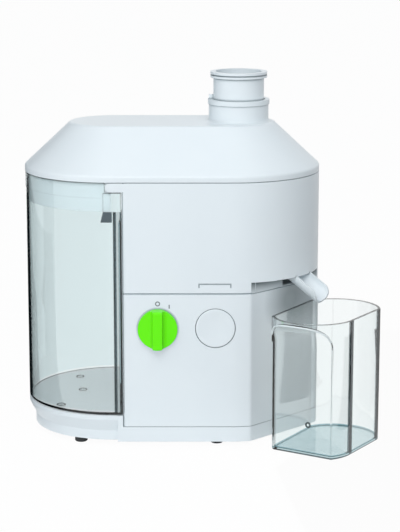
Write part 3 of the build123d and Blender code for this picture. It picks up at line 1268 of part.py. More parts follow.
# Cord inlet: a flanged bush in the back wall
INLET_FLANGE = 10.0
INLET_BORE = 4.0
INLET_PROUD = 3.0
INLET_ROUND = 1.5

with BuildPart() as cord_inlet:
    with BuildSketch(BACK):
        with Locations((-INLET_X, INLET_Z)):
            Circle(INLET_FLANGE)
    extrude(amount=INLET_PROUD)
    fillet(cord_inlet.faces().sort_by(Axis.Y)[-1].edges(), INLET_ROUND)
    with BuildSketch(BACK):
        with Locations((-INLET_X, INLET_Z)):
            Circle(INLET_RADIUS)
    extrude(amount=-2 * WALL)
    with BuildSketch(BACK.offset(INLET_PROUD)):
        with Locations((-INLET_X, INLET_Z)):
            Circle(INLET_BORE)
    extrude(amount=-4 * WALL, mode=Mode.SUBTRACT)
save(cord_inlet, "cord_inlet")
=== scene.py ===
# %% [markdown]
# # A centrifugal juicer, dressed for its photograph
#
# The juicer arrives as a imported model: every piece already has its true shape, size and place.
# This lesson gives each piece its real material, adds the small moulded and printed details that
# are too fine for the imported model, and sets up a plain studio with the camera where the
# photographer stood.

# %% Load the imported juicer
import bmesh
import bpy
from math import cos, pi, radians, sin, sqrt
from mathutils import Matrix, Vector


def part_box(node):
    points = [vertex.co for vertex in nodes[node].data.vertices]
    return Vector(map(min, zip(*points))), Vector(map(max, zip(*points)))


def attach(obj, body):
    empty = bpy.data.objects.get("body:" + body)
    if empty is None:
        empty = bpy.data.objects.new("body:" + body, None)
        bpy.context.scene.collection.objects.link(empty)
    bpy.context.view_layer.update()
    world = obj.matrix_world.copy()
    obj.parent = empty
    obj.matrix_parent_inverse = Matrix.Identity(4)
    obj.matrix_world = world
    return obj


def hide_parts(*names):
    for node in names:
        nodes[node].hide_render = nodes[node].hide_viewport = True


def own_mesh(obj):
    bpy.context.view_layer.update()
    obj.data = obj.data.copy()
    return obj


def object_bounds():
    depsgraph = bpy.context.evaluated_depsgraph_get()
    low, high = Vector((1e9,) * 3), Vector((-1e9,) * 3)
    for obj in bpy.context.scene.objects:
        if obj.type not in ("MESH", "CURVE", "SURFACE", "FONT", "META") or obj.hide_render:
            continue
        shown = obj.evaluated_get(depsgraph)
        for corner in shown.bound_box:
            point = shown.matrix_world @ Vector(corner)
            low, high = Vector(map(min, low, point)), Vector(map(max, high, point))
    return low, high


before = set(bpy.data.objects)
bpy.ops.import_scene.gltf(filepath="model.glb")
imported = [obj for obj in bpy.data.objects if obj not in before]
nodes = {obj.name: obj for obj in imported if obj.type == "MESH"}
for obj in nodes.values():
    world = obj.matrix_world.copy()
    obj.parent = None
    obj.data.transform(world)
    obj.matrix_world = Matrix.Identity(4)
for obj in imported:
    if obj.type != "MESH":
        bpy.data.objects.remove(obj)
cad_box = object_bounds()
scene = bpy.context.scene
print("loaded", len(nodes), "nodes, box from", cad_box[0][:], "to", cad_box[1][:])


# %% [markdown]
# ## Lengths and colours
#
# Blender works in metres, so one helper turns millimetres into them, and another says how often a
# pattern of a given size repeats. Colours are written as they look on a screen, in sRGB, and
# turned into the linear values that shaders add and multiply.

# %% Lengths and colours
def mm(length):
    """Millimetres to metres."""
    return length / 1000.0


def per_mm(size):
    """How often a pattern repeats in a metre, when one repeat is this many millimetres."""
    return 1000.0 / size


def linear(hex_colour):
    """An sRGB hex colour, such as "#E7EFF2", as the linear colour that a shader works with."""
    channels = []
    for start in (1, 3, 5):
        value = int(hex_colour[start:start + 2], 16) / 255.0
        channels.append(value / 12.92 if value <= 0.04045 else ((value + 0.055) / 1.055) ** 2.4)
    return (*channels, 1.0)


print("a millimetre is", mm(1), "m, and mid grey is", round(linear("#808080")[0], 3), "in linear light")


# %% [markdown]
# ## The camera
#
# The photograph is a long-lens view from a little above, straight at the front panel. A camera
# could be placed by eye, but then edges would never quite lie where the picture has them. This
# one was fitted to measured points, which gave its place, its tilt of about twelve degrees and
# its focal length. Nothing needs shifting or rolling, so the camera is only tilted down.

# %% Camera at the photographer's place
CAMERA_PLACE = (mm(-1.17), mm(-1776.17), mm(546.16))
CAMERA_TILT = radians(12.09)
PHOTO_HEIGHT = 532
FOCAL_PIXELS = 1839.59
SENSOR = 36.0

camera = bpy.data.objects.new("camera", bpy.data.cameras.new("camera"))
camera.data.sensor_width = SENSOR
camera.data.lens = FOCAL_PIXELS / PHOTO_HEIGHT * SENSOR
camera.location = CAMERA_PLACE
camera.rotation_euler = (pi / 2 - CAMERA_TILT, 0, 0)
scene.collection.objects.link(camera)
scene.camera = camera
print("lens", round(camera.data.lens, 1), "mm")


# %% [markdown]
# ## Making materials
#
# Every material is a small tree of nodes. The tree could be drawn by hand in the shader editor,
# but a script can be read and run again. One function adds a node: it sets the node's own
# settings, then fills each input with a value or links it to another node's output. That keeps
# each material short enough to read like a recipe.

# %% Adding nodes
def add(tree, kind, settings=None, inputs=None):
    """Adds a node of one kind with its settings, and fills or links its inputs."""
    node = tree.nodes.new(kind)
    for name, value in (settings or {}).items():
        setattr(node, name, value)
    for name, value in (inputs or {}).items():
        if isinstance(value, bpy.types.NodeSocket):
            tree.links.new(value, node.inputs[name])
        else:
            node.inputs[name].default_value = value
    return node


def new_material(name):
    """An empty material, with the coordinates that its patterns read."""
    material = bpy.data.materials.new(name)
    material.use_nodes = True
    tree = material.node_tree
    tree.nodes.clear()
    place = add(tree, "ShaderNodeTexCoord").outputs["Object"]
    return material, tree, place


def finish_surface(tree, shader):
    """Puts a shader on the surface."""
    add(tree, "ShaderNodeOutputMaterial", None, {"Surface": shader.outputs[0]})


print("helpers made:", add.__name__, new_material.__name__, finish_surface.__name__)


# %% [markdown]
# ### Moulded plastic
#
# The housing, lid, collector and base are injection-moulded ABS in a cool white. The tool was
# finely spark-eroded, so the skin has a grain of under a millimetre and a satin gloss, and thick
# and thin walls cool to very slightly different whites. One flat colour and gloss would look
# drawn. So the colour drifts over several centimetres, the grain goes into the bump and the
# roughness, and a Bevel node rounds the moulded edges so that they catch the light as real
# mouldings do. Seams and grooves get painted shade: an Ambient Occlusion node with a reach of a
# few millimetres finds them, and there the colour is darkened towards a shade colour. The clear
# container stands so close to the mouldings round it that it would count as a crevice too, so
# this painted shade is put only at the right of it.

# %% The recipe for moulded plastic
CREVICE_SHADE_REACH = mm(2.6)
OPEN, CLOSED = 0.94, 0.62
CONTAINER_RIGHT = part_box("pulp_container")[1].x + mm(1)
GLOSS_SPREAD = 0.06


def moulded_abs(name, main, shade, crevice_shade, roughness, edge_mm,
                grain_mm=0.9, grain_depth=0.04, specular=0.5, deepen=None):
    """Opaque moulded plastic: two near colours, painted shade in crevices, eroded grain and softened edges.
    """
    material, tree, place = new_material(name)
    drift = add(tree, "ShaderNodeTexNoise", None, {"Vector": place, "Scale": per_mm(55), "Detail": 2.0})
    skin_colour = add(tree, "ShaderNodeMix", {"data_type": "RGBA"},
                      {"Factor": drift.outputs["Fac"], "A": linear(main), "B": linear(shade)})
    # Painted shade: where an Ambient Occlusion node finds a seam or groove right of the clear container, the
    # colour darkens towards the crevice colour.
    openness = add(tree, "ShaderNodeAmbientOcclusion", {"samples": 8}, {"Distance": CREVICE_SHADE_REACH})
    closed = add(tree, "ShaderNodeMapRange", None,
                 {"Value": openness.outputs["AO"], "From Min": OPEN, "From Max": CLOSED})
    along = add(tree, "ShaderNodeSeparateXYZ", None, {0: place})
    beside = add(tree, "ShaderNodeMath", {"operation": "GREATER_THAN"},
                 {0: along.outputs["X"], 1: CONTAINER_RIGHT})
    grey = add(tree, "ShaderNodeMath", {"operation": "MULTIPLY"},
               {0: closed.outputs[0], 1: beside.outputs[0]})
    colour = add(tree, "ShaderNodeMix", {"data_type": "RGBA"},
                 {"Factor": grey.outputs[0], "A": skin_colour.outputs["Result"], "B": linear(crevice_shade)})
    if deepen:
        colour = deepen(tree, place, colour)
    grain = add(tree, "ShaderNodeTexNoise", None, {"Vector": place, "Scale": per_mm(grain_mm), "Detail": 3.0})
    gloss = add(tree, "ShaderNodeMapRange", None,
                {"Value": grain.outputs["Fac"],
                 "To Min": roughness - GLOSS_SPREAD, "To Max": roughness + GLOSS_SPREAD})
    edge = add(tree, "ShaderNodeBevel", {"samples": 4}, {"Radius": mm(edge_mm)})
    skin = add(tree, "ShaderNodeBump", None,
               {"Height": grain.outputs["Fac"], "Strength": grain_depth, "Distance": mm(0.2),
                "Normal": edge.outputs[0]})
    shader = add(tree, "ShaderNodeBsdfPrincipled", None,
                 {"Base Color": colour.outputs["Result"], "Roughness": gloss.outputs[0], "IOR": 1.54,
                  "Specular IOR Level": specular, "Normal": skin.outputs[0]})
    finish_surface(tree, shader)
    return material


print("crevices reach", CREVICE_SHADE_REACH * 1000, "mm, right of x =", round(CONTAINER_RIGHT * 1000, 1), "mm")


# %% [markdown]
# ### White ABS, and the shaded recess
#
# The wall of the jug's recess lies in the shade of the overhang and of the spout. Lamps alone
# leave it too pale here, because the white floor lights it from below. So the two housings get a
# white that also deepens there: close under the overhang, and round a spot behind the spout. The
# wall is told from the rest by the way it faces, to the right and to the front, and by its
# height.

# %% White ABS
RECESS_SHADE = "#46575B"
OVERHANG, UNDER_REACH, UNDER_DEPTH = mm(163), mm(12), 0.95
SHADED_SPOT = (mm(87), mm(-25), mm(138))
SPOT_CORE, SPOT_REACH, SPOT_DEPTH = mm(8), mm(38), 0.62
FACING = 0.5


def recess_shade(tree, place, colour):
    """Deepens a colour on the wall of the recess, under the overhang and behind the spout."""
    normal = add(tree, "ShaderNodeNewGeometry").outputs["Normal"]
    facing = add(tree, "ShaderNodeSeparateXYZ", None, {0: normal})
    along = add(tree, "ShaderNodeSeparateXYZ", None, {0: place})
    under = add(tree, "ShaderNodeMapRange", None,
                {"Value": along.outputs["Z"], "From Min": OVERHANG - UNDER_REACH, "From Max": OVERHANG,
                 "To Max": UNDER_DEPTH})
    far = add(tree, "ShaderNodeVectorMath", {"operation": "DISTANCE"}, {0: place, 1: SHADED_SPOT})
    behind = add(tree, "ShaderNodeMapRange", None,
                 {"Value": far.outputs["Value"], "From Min": SPOT_CORE, "From Max": SPOT_REACH,
                  "To Min": SPOT_DEPTH, "To Max": 0.0})
    deep = add(tree, "ShaderNodeMath", {"operation": "MAXIMUM"}, {0: under.outputs[0], 1: behind.outputs[0]})
    for comparison, value, limit in (("GREATER_THAN", facing.outputs["X"], FACING),
                                     ("LESS_THAN", facing.outputs["Y"], -FACING),
                                     ("LESS_THAN", along.outputs["Z"], OVERHANG + mm(0.2))):
        test = add(tree, "ShaderNodeMath", {"operation": comparison}, {0: value, 1: limit})
        deep = add(tree, "ShaderNodeMath", {"operation": "MULTIPLY"},
                   {0: deep.outputs[0], 1: test.outputs[0]})
    return add(tree, "ShaderNodeMix", {"data_type": "RGBA"},
               {"Factor": deep.outputs[0], "A": colour.outputs["Result"], "B": linear(RECESS_SHADE)})


# The third colour is the painted shade for seams and grooves.
WHITE_SKIN = ("#EBF2F5", "#E6EEF2", "#A3AFB4", 0.34, 0.35)
white_abs = moulded_abs("white_abs_moulded", *WHITE_SKIN)
housing_abs = moulded_abs("white_abs_housing", *WHITE_SKIN, deepen=recess_shade)
print("made", white_abs.name, housing_abs.name)

# %% [markdown]
# ### Green ABS, nylon and phenolic
#
# The knob is the one spot of colour, a vivid lime green from a polished tool. It uses the same
# recipe with a smoother skin. So do the cream nylon of the basket's hub and of the catch, and the
# black phenolic of the switches and brush holders, with skins of their own.

# %% Green ABS, nylon and phenolic
# The fourth colour of each is the painted shade in its crevices.
green_abs = moulded_abs("green_abs_moulded", "#70FF06", "#66F602", "#45C402", 0.32, 0.5, 1.2, 0.02, 0.2)
natural_nylon = moulded_abs("natural_nylon_moulded", "#E6E8E2", "#DEE1DA", "#9A9C94", 0.42, 0.4, 1.4, 0.05)
black_phenolic = moulded_abs("black_phenolic_moulded", "#1F2022", "#2B2B2C", "#111213", 0.45, 0.3, 1.1, 0.08)
print("made", green_abs.name, natural_nylon.name, black_phenolic.name)


# %% [markdown]
# ### Dark lines in clear plastic
#
# The pulp container and the jug are clear styrene-acrylonitrile. Their moulded edges bend the
# light so sharply that they show as dark lines. A plain glass shader would leave them nearly
# invisible on white, so the dark lines are painted on the edges. A Bevel node finds them: near an
# edge its softened normal turns away from the true one, so the dot product of the two drops. The
# painted line fades on edges that look down, under the jug's lip, which catch the white table and
# stay pale. Rounded corners and the container's rail are thick columns of plastic that bend the
# light in the same way, so each gets a painted dark column, given by its axis, its radius and how
# dark it is.

# %% Edges and columns
NOT_BENT, BENT = 0.985, 0.86
COLUMN_BLUR = 0.8


def edge_lines(tree, edge_mm, in_floor):
    """How dark the painted line on an edge is: less where it looks up and little where it looks down, unless
    in the floor.
    """
    true_normal = add(tree, "ShaderNodeNewGeometry").outputs["Normal"]
    soft_normal = add(tree, "ShaderNodeBevel", {"samples": 8}, {"Radius": mm(edge_mm)}).outputs[0]
    bend = add(tree, "ShaderNodeVectorMath", {"operation": "DOT_PRODUCT"}, {0: true_normal, 1: soft_normal})
    edge = add(tree, "ShaderNodeMapRange", None,
               {"Value": bend.outputs["Value"], "From Min": NOT_BENT, "From Max": BENT})
    lean = add(tree, "ShaderNodeSeparateXYZ", None, {0: soft_normal})
    not_down = add(tree, "ShaderNodeMapRange", None,
                   {"Value": lean.outputs["Z"], "From Min": -0.4, "From Max": 0.0,
                    "To Min": 0.08, "To Max": 1.0})
    not_up = add(tree, "ShaderNodeMapRange", None,
                 {"Value": lean.outputs["Z"], "From Max": 0.6, "To Min": 1.0, "To Max": 0.6})
    lit = add(tree, "ShaderNodeMath", {"operation": "MULTIPLY"},
              {0: not_down.outputs[0], 1: not_up.outputs[0]})
    share = add(tree, "ShaderNodeMath", {"operation": "MAXIMUM"}, {0: lit.outputs[0], 1: in_floor})
    return add(tree, "ShaderNodeMath", {"operation": "MULTIPLY"}, {0: edge.outputs[0], 1: share.outputs[0]})


def with_columns(tree, place, height, dark, columns, column_top):
    """Adds painted dark columns, each an axis in plan, a radius and a depth of painted dark, to what is dark
    already.
    """
    flat = add(tree, "ShaderNodeVectorMath", {"operation": "MULTIPLY"}, {0: place, 1: (1.0, 1.0, 0.0)})
    below = add(tree, "ShaderNodeMath", {"operation": "LESS_THAN"}, {0: height, 1: column_top})
    for axis_x, axis_y, radius_mm, depth in columns:
        far = add(tree, "ShaderNodeVectorMath", {"operation": "DISTANCE"},
                  {0: flat.outputs[0], 1: (mm(axis_x), mm(axis_y), 0.0)})
        column = add(tree, "ShaderNodeMapRange", None,
                     {"Value": far.outputs["Value"],
                      "From Min": mm(radius_mm), "From Max": mm(radius_mm + COLUMN_BLUR),
                      "To Min": depth, "To Max": 0.0})
        column = add(tree, "ShaderNodeMath", {"operation": "MULTIPLY"},
                     {0: column.outputs[0], 1: below.outputs[0]})
        dark = add(tree, "ShaderNodeMath", {"operation": "MAXIMUM"},
                   {0: dark.outputs[0], 1: column.outputs[0]})
    return dark


print("helpers made:", edge_lines.__name__, with_columns.__name__)


# %% [markdown]
# ### Clear moulded styrene
#
# Looked at squarely the container's walls keep back about a tenth of the light, a little more of
# the red, and the jug's only a few hundredths. An absorbing volume adds to that where the eye
# looks along a wall. The floor plate has one colour of its own: white in the container, and in
# the jug a painted shade, for the table's shadow seen through it. A painted dark line runs round
# its foot. Real light bends through clear walls, which takes a renderer long to find, so lamps
# pass through by way of a transparent shader for shadow rays only, and what stands behind stays lit.

# %% Clear styrene
PAINTED_EDGE_DARK = "#142429"
FLOOR_PLATE = mm(4.5)
FOOT_MIDDLE, FOOT_REACH = mm(1.3), mm(1.0)


def clear_styrene(name, edge_mm, wall_colour, foot, floor_colour_and_shade, columns, column_top=mm(500)):
    """Clear moulded plastic with tinted walls, painted dark edges and foot, a floor colour of its own that is
    painted shade in the jug, and painted dark columns.
    """
    material, tree, place = new_material(name)
    waves = add(tree, "ShaderNodeTexNoise", None, {"Vector": place, "Scale": per_mm(45), "Detail": 1.0})
    skin = add(tree, "ShaderNodeBump", None,
               {"Height": waves.outputs["Fac"], "Strength": 0.05, "Distance": mm(0.3)})
    height = add(tree, "ShaderNodeSeparateXYZ", None, {0: place}).outputs["Z"]
    in_floor = add(tree, "ShaderNodeMath", {"operation": "LESS_THAN"},
                   {0: height, 1: foot + FLOOR_PLATE}).outputs[0]
    # A painted dark line round the foot of the floor plate.
    foot_line = add(tree, "ShaderNodeMath", {"operation": "COMPARE"},
                    {0: height, 1: foot + FOOT_MIDDLE, 2: FOOT_REACH})
    wall = add(tree, "ShaderNodeMix", {"data_type": "RGBA"},
               {"Factor": in_floor, "A": linear(wall_colour), "B": linear(floor_colour_and_shade)})
    lines = edge_lines(tree, edge_mm, in_floor)
    dark = add(tree, "ShaderNodeMath", {"operation": "MAXIMUM"},
               {0: lines.outputs[0], 1: foot_line.outputs[0]})
    dark = with_columns(tree, place, height, dark, columns, column_top)
    # Painted dark: the edge lines, the foot line and the columns darken the wall colour.
    colour = add(tree, "ShaderNodeMix", {"data_type": "RGBA"},
                 {"Factor": dark.outputs[0], "A": wall.outputs["Result"], "B": linear(PAINTED_EDGE_DARK)})
    shader = add(tree, "ShaderNodeBsdfPrincipled", None,
                 {"Base Color": colour.outputs["Result"], "Roughness": 0.015, "IOR": 1.57,
                  "Transmission Weight": 1.0, "Normal": skin.outputs[0]})
    lamp_light = add(tree, "ShaderNodeBsdfTransparent", None, {"Color": linear("#FAF8F8")})
    path = add(tree, "ShaderNodeLightPath")
    both = add(tree, "ShaderNodeMixShader", None,
               {0: path.outputs["Is Shadow Ray"], 1: shader.outputs[0], 2: lamp_light.outputs[0]})
    body = add(tree, "ShaderNodeVolumeAbsorption", None, {"Color": linear("#97BFC6"), "Density": 9.0})
    add(tree, "ShaderNodeOutputMaterial", None, {"Surface": both.outputs[0], "Volume": body.outputs[0]})
    return material


print("clear floors are tinted up to", FLOOR_PLATE * 1000, "mm above their feet")


# %% [markdown]
# ### The container, the jug and their small marks
#
# The container's rail is painted as three dark columns: the rail itself and its two sides. It
# ends under the grip. The jug has a painted dark column in each of its two right corners and a
# faint one at its left. The jug's gate mark is a darker clear plastic. Its lip bead gathers so
# much light that it shows pale: a painted highlight, which a pale, opaque plastic gives more
# surely than a clear one.

# %% Container, jug, gate and bead
RAIL_TOP = mm(232)
RAIL_COLUMNS = [(-79.2, -66.0, 4.2, 0.30), (-82.0, -66.5, 1.4, 1.0), (-76.3, -66.5, 0.9, 1.0)]
JUG_COLUMNS = [(140.6, -91.6, 3.4, 0.97), (170.9, -45.7, 3.6, 0.98), (69.9, -73.0, 2.6, 0.35)]
# The jug's floor colour is a painted shade, for the table's shadow seen through it.
JUG_FLOOR_SHADE = "#8FB3BA"
container_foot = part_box("pulp_container")[0].z
jug_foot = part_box("juice_jug")[0].z
container_styrene = clear_styrene("clear_styrene_container", 1.4, "#EFF7F8", container_foot, "#FFFFFF",
                                  RAIL_COLUMNS, RAIL_TOP)
jug_styrene = clear_styrene("clear_styrene_jug", 2.0, "#FAFDFD", jug_foot, JUG_FLOOR_SHADE, JUG_COLUMNS)
# A pale, opaque plastic: the painted highlight of the jug's lip bead.
highlight_bead_plastic = moulded_abs("styrene_painted_highlight", "#EDF4F5", "#E4EEEF", "#E4EEEF", 0.25, 0.3)
gate_styrene = clear_styrene("clear_styrene_gate", 1.0, "#4F666C", jug_foot, JUG_FLOOR_SHADE, [])
print("made", container_styrene.name, jug_styrene.name, highlight_bead_plastic.name, gate_styrene.name)


# %% [markdown]
# ### Rubber
#
# The feet, the motor mounts and the shaft seal are moulded rubber: nearly black, dull, and
# lightly dusty where the mould left a grain. A flat black would look like a hole, so two near
# blacks run into each other and the grain goes into the bump. The thumb pad on the container's
# grip is given a dark grey with the same dull skin: a painted shade, for the shadowed hollow
# under the grip.

# %% Moulded rubber
def moulded_rubber(name, main, dust):
    """Dull moulded rubber with a fine grain."""
    material, tree, place = new_material(name)
    grain = add(tree, "ShaderNodeTexNoise", None, {"Vector": place, "Scale": per_mm(0.7), "Detail": 4.0})
    cloud = add(tree, "ShaderNodeTexNoise", None, {"Vector": place, "Scale": per_mm(9), "Detail": 2.0})
    colour = add(tree, "ShaderNodeMix", {"data_type": "RGBA"},
                 {"Factor": cloud.outputs["Fac"], "A": linear(main), "B": linear(dust)})
    skin = add(tree, "ShaderNodeBump", None,
               {"Height": grain.outputs["Fac"], "Strength": 0.25, "Distance": mm(0.15)})
    shader = add(tree, "ShaderNodeBsdfPrincipled", None,
                 {"Base Color": colour.outputs["Result"], "Roughness": 0.72, "IOR": 1.52,
                  "Normal": skin.outputs[0]})
    finish_surface(tree, shader)
    return material


black_rubber = moulded_rubber("black_rubber_moulded", "#25282A", "#34383A")
# The thumb pad's dark grey is a painted shade for the shadowed hollow under the grip.
grip_pad_painted_shade = moulded_rubber("grip_pad_painted_shade_moulded", "#4B575C", "#556268")
print("made", black_rubber.name, grip_pad_painted_shade.name)


# %% [markdown]
# ### Metals
#
# The grater disc and the screen are stainless steel, brushed in circles round the spindle. A
# picture of brushed steel could be laid over them, but a Wave texture makes rings that stay
# centred on the spindle. Shaft, screws and bearings are bright zinc-plated or ground steel, the
# motor's brackets are cast aluminium with a sandy skin, its cores are stacks of thin laminations
# and its commutator is turned copper. Laminations and turning marks show as level lines. A Wave
# texture counts in radians, so a line of it repeats about six times wider than the size given
# here, which is coarser than on the real metal.

# %% Steel, aluminium, laminations and copper
WAVE_RATE = 20.0  # radians in each metre of a Wave texture, at a scale of one
METAL_SPREAD = 0.07
spindle_low, spindle_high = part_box("motor_shaft")
SPINDLE = (spindle_low + spindle_high) / 2


def metal(name, main, shade, roughness, pattern, size_mm, depth):
    """A metal with rings, level lines or a grain. The size of lines is one radian of their wave."""
    material, tree, place = new_material(name)
    centred = add(tree, "ShaderNodeMapping", None,
                  {"Vector": place, "Location": (-SPINDLE.x, -SPINDLE.y, 0.0)}).outputs[0]
    if pattern == "rings":
        lines = add(tree, "ShaderNodeTexWave", {"wave_type": "RINGS", "rings_direction": "Z"},
                    {"Vector": centred, "Scale": per_mm(size_mm) / WAVE_RATE,
                     "Distortion": 1.5, "Detail": 3.0})
    elif pattern == "levels":
        lines = add(tree, "ShaderNodeTexWave", {"wave_type": "BANDS", "bands_direction": "Z"},
                    {"Vector": centred, "Scale": per_mm(size_mm) / WAVE_RATE})
    else:
        lines = add(tree, "ShaderNodeTexNoise", None,
                    {"Vector": centred, "Scale": per_mm(size_mm), "Detail": 3.0})
    height = lines.outputs["Fac"]
    colour = add(tree, "ShaderNodeMix", {"data_type": "RGBA"},
                 {"Factor": height, "A": linear(main), "B": linear(shade)})
    gloss = add(tree, "ShaderNodeMapRange", None,
                {"Value": height, "To Min": roughness - METAL_SPREAD, "To Max": roughness + METAL_SPREAD})
    skin = add(tree, "ShaderNodeBump", None, {"Height": height, "Strength": depth, "Distance": mm(0.15)})
    shader = add(tree, "ShaderNodeBsdfPrincipled", None,
                 {"Base Color": colour.outputs["Result"], "Metallic": 1.0, "Roughness": gloss.outputs[0],
                  "Normal": skin.outputs[0]})
    finish_surface(tree, shader)
    return material


stainless = metal("stainless_steel_brushed", "#C9CBCC", "#B4B7B9", 0.26, "rings", 0.8, 0.10)
plated = metal("steel_zinc_plated", "#C4C6C6", "#B2B1AB", 0.30, "grain", 1.5, 0.05)
aluminium = metal("aluminium_die_cast", "#BFC2C4", "#A9ACAF", 0.48, "grain", 0.8, 0.35)
laminations = metal("steel_laminations", "#7C7D80", "#4F5053", 0.42, "levels", 1.0, 0.5)
copper_bars = metal("copper_turned", "#C98A5A", "#B0703F", 0.32, "levels", 0.6, 0.15)
print("made", stainless.name, plated.name, aluminium.name, laminations.name, copper_bars.name)


# %% [markdown]
# ### Windings and carbon
#
# The coils are enamelled copper wire under varnish. Each wire could be a tube, but that is a
# great many faces for pieces deep inside, so the bands of a Wave texture, in the colour and the
# bump, stand for the rows. They are coarser than real rows too. A clear glossy coat lies over
# them. The brushes are pressed carbon, a dull black with a faint sparkle.

# %% Copper wire and carbon
def wound_wire(name, main, shade):
    """Varnished copper wire, lying in rows."""
    material, tree, place = new_material(name)
    rows = add(tree, "ShaderNodeTexWave", {"wave_type": "BANDS", "bands_direction": "DIAGONAL"},
               {"Vector": place, "Scale": per_mm(1.0) / WAVE_RATE, "Distortion": 0.6, "Detail": 1.0})
    colour = add(tree, "ShaderNodeMix", {"data_type": "RGBA"},
                 {"Factor": rows.outputs["Fac"], "A": linear(shade), "B": linear(main)})
    skin = add(tree, "ShaderNodeBump", None,
               {"Height": rows.outputs["Fac"], "Strength": 0.8, "Distance": mm(0.4)})
    shader = add(tree, "ShaderNodeBsdfPrincipled", None,
                 {"Base Color": colour.outputs["Result"], "Metallic": 0.7, "Roughness": 0.35,
                  "Coat Weight": 0.6, "Coat Roughness": 0.15, "Normal": skin.outputs[0]})
    finish_surface(tree, shader)
    return material


copper_wire = wound_wire("copper_wire_varnished", "#B8652C", "#6E3514")
# The fourth colour is the painted shade in its crevices.
carbon = moulded_abs("carbon_pressed", "#141414", "#232323", "#0C0C0C", 0.6, 0.2, 0.6, 0.1)
print("made", copper_wire.name, carbon.name)

# %% [markdown]
# ## Dressing the nodes
#
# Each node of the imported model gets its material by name. That could be done one node at a time,
# but a table keeps it in one place, and the check after the loop stops the script if a node has
# been forgotten.

# %% Materials of the nodes
DRESS = {
    white_abs: ["base_plate", "juice_collector", "spout", "lid", "feed_chute", "pusher", "release_button",
                "cord_inlet"],
    housing_abs: ["motor_housing", "upper_housing"],
    green_abs: ["control_knob"],
    natural_nylon: ["basket_hub", "basket_rim", "drive_coupling", "release_catch", "terminal_block"],
    grip_pad_painted_shade: ["thumb_pad"],
    black_phenolic: ["brush_holders", "rotary_switch", "interlock_switch", "suppressor", "cooling_fan"],
    container_styrene: ["pulp_container"],
    jug_styrene: ["juice_jug"],
    black_rubber: ["rubber_feet", "motor_mounts", "shaft_seal"],
    stainless: ["grater_disc", "filter_screen", "button_spring"],
    plated: ["base_screws", "motor_bolts", "mount_screws", "motor_shaft", "upper_bearing", "lower_bearing",
             "knob_spindle"],
    aluminium: ["upper_bearing_bracket", "lower_bearing_bracket"],
    laminations: ["stator_core", "armature_core"],
    copper_bars: ["commutator"],
    copper_wire: ["field_coils", "armature_windings"],
    carbon: ["carbon_brushes"],
}
for material, names in DRESS.items():
    for name in names:
        nodes[name].data.materials.clear()
        nodes[name].data.materials.append(material)
dressed = sum(len(names) for names in DRESS.values())
assert dressed == len(nodes), "a node has no material"
print("dressed", dressed, "nodes")


# %% [markdown]
# ## Making pieces
#
# New pieces are drawn with bmesh. One helper turns a drawing into an object, a second makes it a
# piece of the juicer that rides on a body, and a third draws what is needed most often, a flat
# ring: an upright square spun round its axis.

# %% Helpers for pieces
def to_object(name, maker, material):
    """Turns a bmesh into an object in the scene."""
    mesh = bpy.data.meshes.new(name)
    maker.to_mesh(mesh)
    maker.free()
    mesh.materials.append(material)
    made = bpy.data.objects.new(name, mesh)
    scene.collection.objects.link(made)
    return made


def put(name, maker, material, body, slot, smooth=False):
    """Turns a bmesh into a piece that rides on a body."""
    bmesh.ops.remove_doubles(maker, verts=maker.verts, dist=1e-7)
    bmesh.ops.recalc_face_normals(maker, faces=maker.faces)
    piece = to_object(name, maker, material)
    for face in piece.data.polygons:
        face.use_smooth = smooth
    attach(piece, body)
    print("made", name, "with", len(piece.data.polygons), "faces")
    return piece


def ring(inner, outer, height, segments):
    """A flat ring round the Z axis, standing on the XY plane."""
    maker = bmesh.new()
    section = ((inner, 0), (outer, 0), (outer, height), (inner, height))
    corners = [maker.verts.new((x, 0, z)) for x, z in section]
    edges = [maker.edges.new((corners[i - 1], corners[i])) for i in range(4)]
    bmesh.ops.spin(maker, geom=corners + edges, cent=(0, 0, 0), axis=(0, 0, 1), angle=2 * pi,
                   steps=segments, use_merge=True)
    return maker


print("helpers made:", to_object.__name__, put.__name__, ring.__name__)


# %% [markdown]
# ## Printed switch marks
#
# Above the knob two marks are printed on the panel: a ring for off, straight above, and a short
# bar for on, a little under thirty degrees further round. They could be painted into the panel's
# material, but a piece keeps its sharp edge from close by. Print is a film of ink, so each mark
# is very thin and lies on the panel: a ring turned to face the front, and a flattened block.

# %% The marks for off and on
grey_ink = moulded_abs("grey_ink_printed", "#5B6163", "#6A7072", "#5B6163", 0.6, 0.05, 0.5, 0.02)
INK = mm(0.06)
MARK_CIRCLE = mm(24)
ON_ANGLE = radians(27.5)
knob_low, knob_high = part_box("control_knob")
KNOB = (knob_low + knob_high) / 2
panel_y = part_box("motor_housing")[0].y

off_mark = ring(mm(1.5), mm(2.35), INK, 40)
off_place = Vector((KNOB.x, panel_y, KNOB.z + MARK_CIRCLE))
to_panel = Matrix.Rotation(pi / 2, 4, "X")
bmesh.ops.transform(off_mark, matrix=Matrix.Translation(off_place) @ to_panel, verts=off_mark.verts)
put("off_mark", off_mark, grey_ink, "motor_base", "dark_plastic")

on_mark = bmesh.new()
on_place = Vector((KNOB.x + MARK_CIRCLE * sin(ON_ANGLE), panel_y, KNOB.z + MARK_CIRCLE * cos(ON_ANGLE)))
bmesh.ops.create_cube(on_mark, size=1.0)
bmesh.ops.scale(on_mark, vec=(mm(0.9), INK, mm(3.6)), verts=on_mark.verts)
bmesh.ops.translate(on_mark, vec=on_place - Vector((0, INK / 2, 0)), verts=on_mark.verts)
put("on_mark", on_mark, grey_ink, "motor_base", "dark_plastic")

# %% [markdown]
# ## The jug's gate mark
#
# Clear mouldings show where the tool worked. Low on its front facet the jug has the small round
# gate, where the plastic was injected. It is one more ring, turned to face the way the facet does
# and moved onto it. The facet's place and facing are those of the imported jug.

